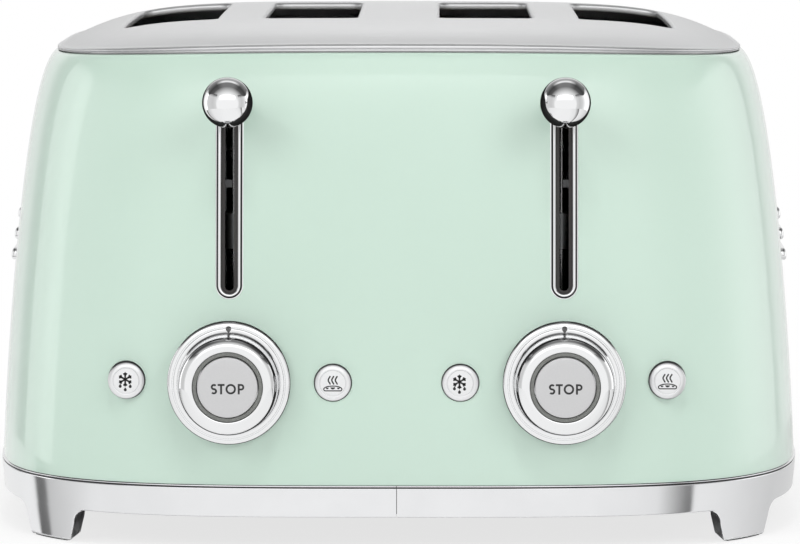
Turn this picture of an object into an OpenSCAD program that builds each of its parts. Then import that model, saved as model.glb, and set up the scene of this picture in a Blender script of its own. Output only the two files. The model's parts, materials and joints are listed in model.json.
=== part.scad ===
// Four-slot pop up toaster. X runs across the front, -Y is the front, +Z is up.
// The origin is on the table, in the middle of the whole toaster's outline.

/* [Body] */
// Width over the base trim
body_w = 325; // [318:1:345]
// Depth over the base trim, without levers, dials and tray handles
body_d = 366; // [360:1:390]
// Squareness of the outline seen from above
plan_power = 3.7; // [3.5:0.1:4.4]
// Height of the seam between the painted wrap and the base trim
seam_z = 25.5; // [24.5:0.1:27]
// Height of the painted wrap's top edge at the front
wrap_top_z = 191.7; // [189.7:0.5:205.7]
// Sheet thickness of the painted wrap
wrap_wall = 1.2; // [1:0.1:1.8]
// How far each side leans in between the seam and the top edge
side_lean = 22.8; // [16:0.2:24]
// How far the front and the back lean in
front_lean = 24.8; // [18:0.2:26]
// How much lower the top edge lies at the sides than at the front
edge_drop = 3.2; // [1.5:0.1:3.6]

/* [Top cover] */
// Rise of the crest above the wrap's top edge
crest_rise = 10.9; // [9:0.1:14]
// Sheet thickness of the top cover
cover_wall = 1.2; // [0.8:0.1:1.5]
// Height of the rolled lip at the front
lip_h = 2.9; // [2:0.1:3.5]
// Depth of the turned-down rim round each bread slot
slot_rim = 3.2; // [2:0.1:5]

/* [Bread slots] */
// Width of each bread slot
slot_w = 37.4; // [34:0.2:39]
// Length of each bread slot
slot_l = 165; // [150:1:170]
// Spacing of the two slots of a pair
slot_pitch = 56.3; // [55:0.1:58]
// Distance of each pair's middle from the centre plane
pair_x = 63.35; // [62.5:0.05:66]
// Set-back of the slots' middle behind the body's middle, negative is to the front
slot_y = -7.5; // [-9:0.5:0]

/* [Base trim and feet] */
// Height of the base trim's lower edge
trim_z = 13; // [11.5:0.1:14]
// Wall thickness of the base trim
trim_wall = 2.6; // [2.2:0.1:3]
// Step from the trim's face back to the wrap
trim_step = 0.7; // [0.4:0.1:1.2]
// Radius of the bead along the top of the base trim
trim_bead = 0.42; // [0.34:0.02:0.6]
// Thickness of the rubber pads under the feet
pad_h = 0.8; // [0.6:0.1:2.5]
// Half of the angle that a foot takes round the corner at its lower end
foot_half = 7.5; // [6:0.5:9]
// Radius of the fillets between a foot and the trim's lower edge
foot_fillet = 4.5; // [3:0.5:6]

/* [Base plate and crumb trays] */
// Thickness of the base plate
plate_t = 2.5; // [2:0.1:3]
// Width of one crumb tray
tray_w = 98; // [90:1:100]
// Height of a crumb tray's walls
tray_h = 10; // [8:0.5:10.5]
// Sheet thickness of a crumb tray
tray_wall = 1; // [0.8:0.1:1.5]
// Height of a crumb tray's floor above the base plate
tray_lift = 11.5; // [11:0.1:11.8]
// How far the tray handles stand out behind the base trim
handle_reach = 5; // [3:0.5:10]
// How far a crumb tray pulls out
tray_travel = 200; // [150:5:220]

/* [Levers] */
// Distance of the levers and dials from the centre plane
control_x = 64.7; // [64:0.1:66]
// Depth of a lever's rest position below the wrap's top edge
lever_below_top = 17.8; // [17:0.1:22]
// Travel of a lever
lever_travel = 70; // [62:1:71]
// Diameter of the ball knob
knob_d = 19.4; // [17:0.2:21]
// Width of the slot inside its bezel
lever_slot_w = 6.6; // [6:0.1:7.5]
// Width of the bezel round the slot
bezel_w = 10.8; // [10:0.1:12]
// How far the bezel stands proud of the wrap
bezel_proud = 1; // [0.6:0.1:1.4]
// Thickness of the lever arm
arm_t = 3; // [2:0.1:3.5]
// Height of the lever arm
arm_h = 5; // [4:0.2:6]

/* [Dials and buttons] */
// Height of the dials' axis
dial_z = 65.2; // [63.2:0.5:67.2]
// Diameter of a dial over its skirt
dial_d = 47.5; // [45:0.5:49]
// Height of a dial from the back of its skirt to its front face
dial_h = 16.3; // [15:0.1:18]
// Diameter of a dial's hub
hub_d = 20; // [18:0.5:22]
// Outer diameter of the grey light ring
light_ring_d = 27; // [26:0.2:28]
// Diameter of the stop button
stop_d = 23.3; // [22:0.1:23.6]
// Turn of a dial to each side of its middle position
dial_turn = 135; // [90:5:150]
// Diameter of the defrost and reheat buttons
button_d = 14.3; // [13:0.1:15]
// Distance of those buttons from the dial's axis
button_dx = 40.1; // [39:0.1:41]
// Travel of every push button
press = 1.5; // [1:0.1:1.6]

/* [Mechanism] */
// Diameter of the guide rods
rod_d = 6; // [5:0.5:7]
// Length of each carriage bearing
bearing_l = 14; // [10:1:16]
// Height of the bread lifters at rest
lifter_z = 119; // [119:1:122]
// Width of a bread lifter
lifter_w = 12; // [8:1:14]
// Height of a lifter's blade
blade_h = 8; // [6:0.5:8]
// Wire diameter of the bread guides
guide_wire = 1.8; // [1.4:0.1:2]
// Gap from the middle of a slot to an open bread guide
guide_open = 17.5; // [17:0.1:17.8]
// Travel of a bread guide towards the bread
guide_travel = 7; // [5:0.5:8]
// Turns of a lift spring
spring_turns = 9; // [7:1:12]

/* [Clearances] */
// Radial clearance of running fits
run_gap = 0.05; // [0.03:0.01:0.08]
// Gap round pieces that slide past each other
slide_gap = 0.3; // [0.25:0.05:0.4]
// Gap between two curved pieces that are fastened together
seat_gap = 0.2; // [0.15:0.05:0.3]

/* [Hidden] */

left = -1;
right = 1;

// Plan outline: a rounded rectangle that follows a superellipse
plan_steps = 64;
// Longer than anything that a hole passes through
through = wrap_top_z;
wrap_a = body_w / 2 - trim_step;
wrap_b = body_d / 2 - trim_step;
function spow(v, p) = sign(v) * pow(abs(v), p);
function plan_c(angle) = spow(cos(angle), 2 / plan_power);
function plan_s(angle) = spow(sin(angle), 2 / plan_power);
function step_angle(i) = 360 * i / plan_steps;
function side_share(angle) = pow(abs(plan_c(angle)), 2.5);
function plan_ring(a, b, z) = [for (i = [0:plan_steps - 1])
    [a * plan_c(step_angle(i)), b * plan_s(step_angle(i)), z]];

// Wall of the wrap: 0 at the seam, 1 at the top edge
wrap_levels = [0, 0.15, 0.32, 0.5, 0.66, 0.8, 0.9, 0.965, 1];
function lean(t) = 1 - pow(1 - pow(t, 1.25), 0.51);
function level_of(z) = (z - seam_z) / (wrap_top_z - seam_z);
function wall_a(z) = wrap_a - side_lean * lean(level_of(z));
function wall_b(z) = wrap_b - front_lean * lean(level_of(z));
function wrap_ring(t, grow) = [for (i = [0:plan_steps - 1])
    let (angle = step_angle(i),
        z = seam_z + t * (wrap_top_z - seam_z) - edge_drop * pow(t, 6) * side_share(angle))
    [(wrap_a - side_lean * lean(t) + grow) * plan_c(angle),
        (wrap_b - front_lean * lean(t) + grow) * plan_s(angle), z]];
// Distance from the centre plane to the front wall at a place on the front
function wall_at(x, z) =
    wall_b(z) * pow(1 - pow(abs(x) / wall_a(z), plan_power), 1 / plan_power);

// Dials and buttons
dial_r = dial_d / 2;
dial_seat = wall_at(control_x - dial_r, dial_z - dial_r) + 0.5;
stop_proud = 0.6;

// Levers
lever_z = wrap_top_z - lever_below_top;
lever_low_z = lever_z - lever_travel;
slot_over = 1.9;
slot_under = 2.2;
slot_top_z = lever_z + arm_h / 2 + slot_over;
slot_bottom_z = lever_low_z - arm_h / 2 - slot_under;
bezel_side = (bezel_w - lever_slot_w) / 2;
collar_r = 4.4;
collar_l = 3;
collar_y = wall_at(control_x, slot_bottom_z) + bezel_proud + 1;
knob_y = collar_y + collar_l + knob_d / 2 - 1;
stud_r = 2.5;
stud_l = 10;

// Reach of the whole toaster in front of and behind the body's middle
front_reach = max(dial_seat + dial_h + stop_proud, knob_y + knob_d / 2);
rear_reach = body_d / 2 + handle_reach;
// Shift that brings the middle of the whole outline over the origin
centre_y = (front_reach - rear_reach) / 2;

// Base plate, crumb trays and floor heights
plate_z = trim_z + 1.1;
floor_z = plate_z + plate_t;
tray_z = floor_z + tray_lift;
tray_top_z = tray_z + tray_h;
tray_lap = 2;
face_out = 1.8;
tray_levels = [0:1];

// Chassis
sheet = 1.5;
thin_sheet = 0.8;
slot_front = slot_l / 2 - slot_y;
slot_rear = slot_l / 2 + slot_y;
bulkhead_gap = 14;
front_bulk = slot_front + bulkhead_gap;
rear_bulk = slot_rear + bulkhead_gap;
chassis_top_z = wrap_top_z - 6.5;
mica_side = slot_w / 2 + 5.8;
chassis_half = pair_x + slot_pitch / 2 + mica_side + 11;
shield_x = chassis_half - 3.5;
cage_l = front_bulk + rear_bulk;
cage_y = (rear_bulk - front_bulk) / 2;
shield_low_z = tray_top_z + 3.5;
shield_top_z = chassis_top_z - 6;
flange_w = 12;
screw_side = chassis_half - 27;
screw_x = [-screw_side, 0, screw_side];
screw_r = 1.6;

// Carriages
rod_y = front_bulk + sheet + 18.5;
bearing_r = rod_d / 2 + 3.5;
column_w = 16;
column_t = 6.5;
column_y = rod_y - rod_d / 2 - 2.5;
crossbar_t = 3;
carriage_low_z = lifter_z - 6;
carriage_top_z = lever_z + 5.3;
pad_y = rod_y + bearing_r + 2.5;
bracket_z = chassis_top_z - 2;
bracket_rim = 8;
armature_z = carriage_low_z + 2;
armature_t = 2;
magnet_x = 19;
magnet_top_z = armature_z - lever_travel - slide_gap;
spring_x = 13;
spring_r = 4;
spring_wire = 0.6;
lug_z = lifter_z + 18;
lug_t = 3;

// Bread guides
guide_rod_d = 2.4;
guide_low_z = shield_low_z + 6;
guide_top_z = chassis_top_z - 11;
guide_reach = 3;
guide_wires = 9;

// Heaters
mica_t = 0.8;
ribbon_t = 0.4;
ribbon_h = 1.8;
ribbon_rows = 9;
mica_low_z = shield_low_z + 2;
mica_h = shield_top_z - mica_low_z - 8;

// Controls behind the front
carrier_t = 3;
carrier_half = 54;
carrier_low = 22;
carrier_y = wall_at(control_x + carrier_half - 2, dial_z + carrier_low)
    - wrap_wall - 1.2;
board_gap = 3;
board_t = 1.6;
board_y = carrier_y - carrier_t - board_gap;
board_half = 46;
post_x = 50;
post_z = 12;
post_r = 3;
escutcheon_r = dial_r - 0.35;
switch_h = 3.5;
plunger_r = 3;
button_r = button_d / 2;
sleeve_wall = 1.6;
encoder_h = 8.5;
stem_r = 4;
fine = 48;
eps = 0.01;

// Moves the body's middle to its place over the origin
module centred() translate([0, centre_y, 0]) children();

// Solid through rings of points, from the lowest ring up; closed joins the last to the first
module loft(rings, closed = false) {
    n = len(rings[0]);
    m = len(rings);
    sides = [for (k = [0:m - (closed ? 1 : 2)], i = [0:n - 1])
        let (a = k * n + i, b = k * n + (i + 1) % n,
            c = ((k + 1) % m) * n + i, d = ((k + 1) % m) * n + (i + 1) % n)
        each [[a, c, b], [b, c, d]]];
    caps = closed ? [] : [[for (i = [0:n - 1]) i], [for (i = [n - 1:-1:0]) (m - 1) * n + i]];
    polyhedron([for (r = rings) each r], concat(sides, caps));
}

// Places round the outline, counted in plan steps from the right-hand side
quarter = plan_steps / 4;
front_right = -quarter;
front_left = -2 * quarter;
back_right = 0;
back_left = quarter;
lever_levels = [2:7];
low_levels = [0:3];
side_levels = [2:4];

// Part of the wrap's volume between the centre line and its face, grown by a distance
module wrap_wedge(grow, first, last, levels) loft([for (k = levels)
    let (ring = wrap_ring(wrap_levels[k], grow))
    concat([[0, 0, seam_z + wrap_levels[k] * (wrap_top_z - seam_z)]],
        [for (i = [first:last]) ring[(i + plan_steps) % plan_steps]])]);

// The layer between two distances from the wrap's face
module wrap_skin(inside, outside, first, last, levels) difference() {
    wrap_wedge(outside, first, last, levels);
    wrap_wedge(inside, first, last, levels);
}

// A drawing in X and Z, pushed from depth y0 to depth y1 in front of the middle
module push_front(x, y0, y1) translate([x, -y0, 0]) rotate([90, 0, 0])
    linear_extrude(y1 - y0) children();

// A drawing of radius and forward height, turned about an axis that points to the front
module turn_front(x, y, z) translate([x, -y, z]) rotate([90, 0, 0])
    rotate_extrude($fn = fine) children();

// A cylinder along Y from depth y0 to depth y1 in front of the middle
module bar_front(x, z, r, y0, y1) translate([x, -y0, z]) rotate([90, 0, 0])
    cylinder(r = r, h = y1 - y0, $fn = fine);

module block(x0, x1, y0, y1, z0, z1) translate([x0, y0, z0])
    cube([x1 - x0, y1 - y0, z1 - z0]);

// Upright slot with round ends between two heights
module upright_slot(w, z0, z1) {
    translate([0, z0 + w / 2]) circle(d = w, $fn = fine);
    translate([0, z1 - w / 2]) circle(d = w, $fn = fine);
    translate([-w / 2, z0 + w / 2]) square([w, z1 - z0 - w]);
}

// Level slot with round ends
module level_slot(l, h) {
    for (s = [-1, 1]) translate([s * (l - h) / 2, 0]) circle(d = h, $fn = 24);
    square([l - h, h], center = true);
}

// Rectangle with round corners in the plan
module round_rect(w, l, r) {
    square([w - 2 * r, l], center = true);
    square([w, l - 2 * r], center = true);
    for (x = [-1, 1], y = [-1, 1])
        translate([x * (w / 2 - r), y * (l / 2 - r)]) circle(r = r, $fn = fine);
}

function slot_xs() = [for (s = [left, right], k = [-1, 1]) s * pair_x + k * slot_pitch / 2];

// ---- Outer skin ----

module body_shell() color("#cde6d9") centred() difference() {
    loft([for (t = wrap_levels) wrap_ring(t, 0),
        for (k = [len(wrap_levels) - 1:-1:0]) wrap_ring(wrap_levels[k], -wrap_wall)],
        closed = true);
    for (s = [left, right]) {
        push_front(s * control_x, carrier_y, body_d)
            upright_slot(bezel_w + 2 * seat_gap, slot_bottom_z - bezel_side - seat_gap,
                slot_top_z + bezel_side + seat_gap);
        bar_front(s * control_x, dial_z, escutcheon_r + slide_gap, carrier_y, body_d);
        for (k = [-1, 1])
            bar_front(s * control_x + k * button_dx, dial_z, button_r + slide_gap,
                carrier_y - button_d, body_d);
        tray_bay(s, slide_gap * 2);
    }
    translate([0, body_d / 2, gland_z]) rotate([90, 0, 0])
        cylinder(r = gland_r + slide_gap, h = body_d / 3, center = true, $fn = fine);
}

// Opening at the back that a crumb tray slides through
module tray_bay(s, gap) block(s * pair_x - tray_w / 2 - gap, s * pair_x + tray_w / 2 + gap,
    rear_bulk - 1, body_d, tray_z - gap, tray_top_z + gap);

// Dome of the top cover: height at a share r of the way from the middle to the edge
crest_z = wrap_top_z + crest_rise;
cover_levels = [0.97, 0.91, 0.83, 0.72, 0.55, 0.3, 0.02];
edge_a = wrap_a - side_lean;
edge_b = wrap_b - front_lean;
crease_in = 1.4;
function lip_low(angle) = wrap_top_z + slide_gap - edge_drop * side_share(angle);
function lip_top(angle) = lip_low(angle) + lip_h - lip_h / 2 * side_share(angle);
function dome_z(r, angle) = lip_top(angle)
    + (crest_z - lip_top(angle)) * pow(1 - pow(r, 6.85), 1.13);
function dome_ring(r, down) = [for (i = [0:plan_steps - 1])
    let (angle = step_angle(i))
    [(edge_a - crease_in) * r * plan_c(angle), (edge_b - crease_in) * r * plan_s(angle),
        dome_z(r, angle) - down]];
// Ring of the rolled lip: distance out from the wrap's edge, and share of the lip's height
function lip_ring(out, share) = [for (i = [0:plan_steps - 1])
    let (angle = step_angle(i))
    [(edge_a + out) * plan_c(angle), (edge_b + out) * plan_s(angle),
        lip_low(angle) + share * (lip_top(angle) - lip_low(angle))]];
skirt_in = wrap_wall + 0.6;
skirt_share = -1.6;
lip_out = 0.7;

module cover_sheet() loft([
    for (k = [len(cover_levels) - 1:-2:0]) dome_ring(cover_levels[k], cover_wall),
    lip_ring(-skirt_in - cover_wall, skirt_share),
    lip_ring(-skirt_in, skirt_share),
    lip_ring(-skirt_in, 0),
    lip_ring(lip_out - 0.5, 0),
    lip_ring(lip_out, 0.3),
    lip_ring(lip_out, 0.6),
    lip_ring(-crease_in + 0.7, 0.95),
    lip_ring(-crease_in, 1),
    for (r = cover_levels) dome_ring(r, 0)]);

// Dome height at a place in the plan
function dome_at(x, y) =
    let (u = abs(x) / (edge_a - crease_in), v = abs(y) / (edge_b - crease_in),
        r = pow(pow(u, plan_power) + pow(v, plan_power), 1 / plan_power),
        low = wrap_top_z + slide_gap - edge_drop * pow(u / r, 2.5),
        top = low + lip_h - lip_h / 2 * pow(u / r, 2.5))
    top + (crest_z - top) * pow(1 - pow(r, 6.85), 1.13);

// Outline of a bread slot, grown by a distance, hung below the dome by a depth
slot_corner = 5;
side_parts = 5;
function slot_ring(x, grow, down) =
    let (w = slot_w / 2 - slot_corner, l = slot_l / 2 - slot_corner, r = slot_corner + grow,
        sides = [[1, -1], [1, 1], [-1, 1], [-1, -1]])
    [for (k = [0:3], j = [0:3 + (k % 2 == 0 ? side_parts - 1 : 0)])
        let (angle = 90 * k - 90 + 30 * min(j, 3),
            along = max(0, j - 3) / side_parts * 2 * l * -sides[k][1],
            px = x + sides[k][0] * w + r * cos(angle),
            py = slot_y + sides[k][1] * l + r * sin(angle) + along)
        [px, py, dome_at(px, py) - down]];
module slot_rim_ring(x) loft([slot_ring(x, -eps, slot_rim),
    slot_ring(x, cover_wall, slot_rim), slot_ring(x, cover_wall, cover_wall / 2),
    slot_ring(x, -eps, cover_wall / 2)], closed = true);

module top_cover() color("#c9cccd") centred() difference() {
    union() {
        cover_sheet();
        for (x = slot_xs()) slot_rim_ring(x);
    }
    for (x = slot_xs()) translate([x, slot_y, wrap_top_z / 2]) linear_extrude(through)
        round_rect(slot_w, slot_l, slot_corner);
}

// ---- Base ----

// Outer face, groove, bead, inside and ledge of the base trim: [inset, height]
ledge_in = 6.6;
bead_z = seam_z - 0.1 - trim_bead;
trim_profile = concat(
    [[1.3, trim_z], [0.9, trim_z + 0.6], [0.55, trim_z + 3.5], [0.15, trim_z + 8],
        [0, bead_z - trim_bead - 0.6], [0.75, bead_z - trim_bead - 0.05]],
    [for (angle = [-60:37.5:90])
        [trim_bead + 0.1 - trim_bead * cos(angle), bead_z + trim_bead * sin(angle)]],
    [[trim_wall, seam_z - 0.1], [trim_wall, plate_z + plate_t + 1], [trim_wall + 0.2, plate_z],
        [ledge_in, plate_z], [ledge_in, trim_z]]);

// Foot: a block in the corner, flush with the trim, that narrows downwards from its fillets
foot_mid = 41.5;
foot_in = 1.32;
foot_lean = 0.8;
foot_edge = 0.6;
foot_taper = 1.4;
foot_flare = foot_fillet * 0.8;
foot_turn = 2.5;
foot_round = 3;
foot_steps = 6;
foot_top_z = plate_z - 0.1;
function fillet_share(z) =
    let (q = min(1, max(0, (z - trim_z + foot_fillet) / foot_fillet))) 1 - sqrt(1 - q * q);
function foot_point(out, angle) =
    [(body_w / 2 - out) * plan_c(angle), (body_d / 2 - out) * plan_s(angle)];
function foot_outline(out, half) =
    let (side = foot_point(out, foot_mid - half), front = foot_point(out, foot_mid + half),
        x = front[0] - foot_turn + foot_round, y = side[1] - foot_turn + foot_round)
    concat([for (k = [0:foot_steps]) foot_point(out, foot_mid - half + 2 * half * k / foot_steps)],
        [for (angle = [180:30:270]) [x + foot_round * cos(angle), y + foot_round * sin(angle)]]);
function foot_ring(z) =
    let (up = min(1, (z - pad_h) / (trim_z - foot_fillet - pad_h)),
        broken = z > pad_h ? 0 : foot_edge)
    [for (p = foot_outline(foot_in + foot_lean * (1 - up) + broken,
        foot_half + foot_taper * up + foot_flare * fillet_share(z) - broken / 2))
        [p[0], p[1], z]];
foot_zs = concat([pad_h, pad_h + foot_edge],
    [for (q = [0, 0.45, 0.72, 0.9, 1]) trim_z - foot_fillet * (1 - q)], [foot_top_z]);

module base_trim(s) color("#d5d8da") centred() {
    mirror([s > 0 ? 0 : 1, 0, 0]) {
        loft([for (i = [-quarter:quarter])
            [for (k = [len(trim_profile) - 1:-1:0]) let (p = trim_profile[k])
                [(body_w / 2 - p[0]) * plan_c(step_angle(i)),
                    (body_d / 2 - p[0]) * plan_s(step_angle(i)), p[1]]]]);
        for (back = [0, 1]) mirror([0, back, 0]) loft([for (z = foot_zs) foot_ring(z)]);
    }
}

module rubber_feet() color("#2b2b2b") centred()
    for (x = [0, 1], y = [0, 1]) mirror([x, 0, 0]) mirror([0, y, 0])
        linear_extrude(pad_h)
            polygon(foot_outline(foot_in + foot_lean + 2 * foot_edge, foot_half - foot_edge));

rail_x = tray_w / 2 - 6;
vent_w = 3;
vent_l = 16;
vent_x = tray_w / 6;
vent_y = (rear_bulk - flange_w) / 3.2;
module base_plate() color("#3a3c3e") centred() {
    difference() {
        translate([0, 0, plate_z]) linear_extrude(plate_t)
            polygon([for (p = plan_ring(body_w / 2 - trim_wall - slide_gap,
                body_d / 2 - trim_wall - slide_gap, 0)) [p[0], p[1]]]);
        for (x = screw_x, y = [-front_bulk + flange_w / 2, rear_bulk - flange_w / 2])
            translate([x, y, 0]) cylinder(r = screw_r + 0.1, h = through, $fn = 24);
        for (s = [left, right], x = [-2:2], y = [-2:2])
            translate([s * pair_x + x * vent_x, y * vent_y, 0]) linear_extrude(through)
                round_rect(vent_w, vent_l, vent_w / 2 - 0.1);
    }
    for (s = [left, right], k = [-1, 1]) {
        block(s * pair_x + k * rail_x - 1, s * pair_x + k * rail_x + 1,
            -front_bulk + flange_w + 1, rear_bulk - flange_w - 1, floor_z - 1,
            tray_z - slide_gap);
        block(s * pair_x + k * rail_x - 1, s * pair_x + k * rail_x + 1,
            rear_bulk + sheet + 1, wall_at(pair_x + tray_w / 2, tray_z) - 12, floor_z - 1,
            tray_z - slide_gap);
    }
    for (back = [0, 1]) mirror([0, back, 0]) cleat();
}

// Cleat under the base that the cord is wound on, clear of the rear screws
cleat_w = 44;
cleat_h = 8;
cleat_t = 2.5;
cleat_wall = 4;
cleat_out = 6;
cleat_y = rear_bulk - flange_w - cleat_out - cleat_h;
module cleat() translate([0, cleat_y, plate_z - cleat_h]) {
    block(-cleat_w / 4, cleat_w / 4, 0, cleat_wall, 0, cleat_h + eps);
    block(-cleat_w / 4, cleat_w / 4, 0, cleat_out + cleat_wall, 0, cleat_t);
    block(-cleat_w / 2, cleat_w / 2, cleat_out, cleat_out + cleat_wall, 0, cleat_t);
}

gland_r = 6;
gland_z = (tray_z + tray_top_z) / 2 + 4;
gland_flange = gland_r + 2.2;
gland_nut = gland_r + 2.4;
gland_bore = 3.6;
module cord_gland() color("#262626") centred() {
    wall = wall_at(0, gland_z);
    seat = wall_at(0, gland_z - gland_flange) + slide_gap;
    difference() {
        union() {
            translate([0, wall + 4, gland_z]) rotate([90, 0, 0])
                cylinder(r = gland_r, h = 16, $fn = fine);
            translate([0, wall + 3, gland_z]) rotate([90, 0, 0])
                cylinder(r = gland_flange, h = wall + 3 - seat, $fn = fine);
            translate([0, wall_at(0, gland_z + gland_nut) - wrap_wall - slide_gap, gland_z])
                rotate([90, 0, 0]) cylinder(r = gland_nut, h = 5, $fn = 6);
        }
        translate([0, wall + 5, gland_z]) rotate([90, 0, 0])
            cylinder(r = gland_bore, h = 30, $fn = fine);
    }
}

// Three bars on each side, shorter towards the top
bar_h = 5;
bar_pitch = 7.5;
bar_z = dial_z + 39.5;
bar_half = 56;
bar_step = 12;
bar_proud = 2;
bar_reach = 2;
module side_trims() color("#d9dcde") centred()
    for (turn = [0, 1]) mirror([turn, 0, 0]) intersection() {
        wrap_skin(seat_gap, bar_proud, -bar_reach, bar_reach, side_levels);
        for (k = [0:2])
            block(body_w / 3, body_w, -bar_half + bar_step * k, bar_half - bar_step * k,
                bar_z + k * bar_pitch - bar_h / 2, bar_z + k * bar_pitch + bar_h / 2);
    }

// ---- Levers ----

function front_side(s) = s > 0 ? front_right : front_left;
function back_side(s) = s > 0 ? back_right : back_left;

module lever_bezel(s) color("#d9dcde") centred() intersection() {
    wrap_skin(-wrap_wall - 2, bezel_proud, front_side(s), front_side(s) + quarter,
        lever_levels);
    push_front(s * control_x, carrier_y - 30, body_d) difference() {
        upright_slot(bezel_w, slot_bottom_z - bezel_side, slot_top_z + bezel_side);
        upright_slot(lever_slot_w, slot_bottom_z, slot_top_z);
    }
}

module slot_liner(s) color("#262424") centred() intersection() {
    wrap_skin(-wrap_wall - 3, -1, front_side(s), front_side(s) + quarter, lever_levels);
    push_front(s * control_x, carrier_y - 30, body_d) difference() {
        upright_slot(lever_slot_w - seat_gap, slot_bottom_z + seat_gap / 2,
            slot_top_z - seat_gap / 2);
        upright_slot(arm_t + 2 * slide_gap, slot_bottom_z + 1, slot_top_z - 1);
    }
}

arm_pad = 5;
arm_pad_t = 2;
module lever_arm(s) color("#8f9396") centred() {
    arm_front = collar_y + eps;
    block(s * control_x - arm_t / 2, s * control_x + arm_t / 2, -arm_front, -pad_y,
        lever_z - arm_h / 2, lever_z + arm_h / 2);
    block(s * control_x - arm_pad, s * control_x + arm_pad, -pad_y - arm_pad_t, -pad_y,
        carriage_top_z - 1 - 2 * arm_pad, carriage_top_z - 1);
    bar_front(s * control_x, lever_z, stud_r, arm_front - 1, arm_front + stud_l);
}

module lever_knob(s) color("#dfe1e3") centred() difference() {
    union() {
        translate([s * control_x, -knob_y, lever_z]) sphere(d = knob_d, $fn = fine);
        bar_front(s * control_x, lever_z, collar_r, collar_y + 0.1, knob_y);
    }
    bar_front(s * control_x, lever_z, stud_r + run_gap, collar_y - 1,
        collar_y + stud_l + 0.4);
}

module carriage(s) color("#b9bcbe") centred() {
    x = s * control_x;
    difference() {
        union() {
            block(x - column_w / 2, x + column_w / 2, -column_y, -column_y + column_t,
                carriage_low_z, carriage_top_z);
            for (z = [carriage_low_z, carriage_top_z - bearing_l])
                translate([x, -rod_y, z]) cylinder(r = bearing_r, h = bearing_l, $fn = fine);
            block(x - 5, x + 5, -pad_y, -rod_y, carriage_top_z - bearing_l + 1,
                carriage_top_z);
            block(s * pair_x - slot_pitch / 2 - 4, s * pair_x + slot_pitch / 2 + 4,
                -column_y + column_t - eps, -column_y + column_t + crossbar_t,
                carriage_low_z, lifter_z + 2);
            block(x + (s > 0 ? -magnet_x - 6 : 0), x + (s > 0 ? 0 : magnet_x + 6),
                -rod_y - 4, -column_y + 2, armature_z + armature_t,
                armature_z + armature_t + 3);
            block(x + (s > 0 ? 0 : -spring_x - 5), x + (s > 0 ? spring_x + 5 : 0),
                -rod_y - 3, -column_y + 2, lug_z, lug_z + lug_t);
        }
        translate([x, -rod_y, 0])
            cylinder(r = rod_d / 2 + run_gap, h = wrap_top_z, $fn = fine);
    }
}

lifter_front = column_y - column_t - crossbar_t;
module bread_lifters(s) color("#aeb1b3") centred() for (k = [-1, 1])
    translate([s * pair_x + k * slot_pitch / 2, 0, 0]) difference() {
        union() {
            block(-thin_sheet, thin_sheet, -lifter_front, rear_bulk + sheet + 4,
                lifter_z - blade_h, lifter_z);
            block(-lifter_w / 2, lifter_w / 2, -slot_front + 3, slot_rear - 3, lifter_z - 1,
                lifter_z + 0.4);
        }
        // Notches along both edges that grip the bread and let crumbs fall
        for (j = [-6:6], e = [-1, 1])
            translate([e * lifter_w / 2, slot_y + j * slot_l / 14, lifter_z - 3])
                cylinder(r = 2.2, h = 6, $fn = 24);
    }

module armature(s) color("#8a8d90") centred()
    translate([s * (control_x - magnet_x), -rod_y, armature_z]) {
        translate([-7, -4, 0]) cube([14, 9, armature_t]);
        translate([0, 1, 0]) cylinder(r = 5, h = armature_t, $fn = fine);
    }

module guide_rod(s) color("#d0d2d4") centred()
    translate([s * control_x, -rod_y, floor_z])
        cylinder(d = rod_d, h = bracket_z + 3.5 - floor_z, $fn = fine);

// Extension spring from the top bracket down to the carriage's lug
spring_sides = 5;
spring_per_turn = 10;
module lift_spring(s) color("#c4c6c8") centred() {
    low = lug_z + lug_t + spring_wire + slide_gap;
    high = bracket_z - spring_wire - slide_gap;
    count = spring_turns * spring_per_turn;
    translate([s * (control_x + spring_x), -rod_y, 0])
        loft([for (k = [0:count]) let (turn = 360 * k / spring_per_turn)
            [for (j = [0:spring_sides - 1]) let (angle = 360 * j / spring_sides,
                reach = spring_r + spring_wire * cos(angle))
                [reach * cos(turn), -reach * sin(turn),
                    low + (high - low) * k / count + spring_wire * sin(angle)]]]);
}

module electromagnet(s) color("#b5651d") centred()
    translate([s * (control_x - magnet_x), -rod_y, 0]) {
        block(-7.5, 7.5, -7.5, 7.5, floor_z, floor_z + 2);
        translate([0, 0, floor_z]) cylinder(r = 7, h = magnet_top_z - floor_z - 7, $fn = fine);
        translate([0, 0, floor_z]) cylinder(r = 3.5, h = magnet_top_z - floor_z, $fn = fine);
        block(-7.5, 7.5, 5, 6.8, floor_z, magnet_top_z - 6);
        block(-7.5, 7.5, -1.5, 6.8, magnet_top_z - 7.5, magnet_top_z - 5.5);
    }

// ---- Dials and buttons ----

ring_r = light_ring_d / 2;
stop_r = stop_d / 2;
stop_bore = stop_r + 0.2;
ring_depth = 4.3;
pocket_h = dial_h - 6.8;
hub_r = hub_d / 2;
encoder_y = board_y + encoder_h;
hub_back = dial_seat - encoder_y - slide_gap;
waist_r = dial_r - 5.15;
brow_in = ring_r + 1.1;
brow_w = dial_r - 4.85 - brow_in;
brow_h = 4;

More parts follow.
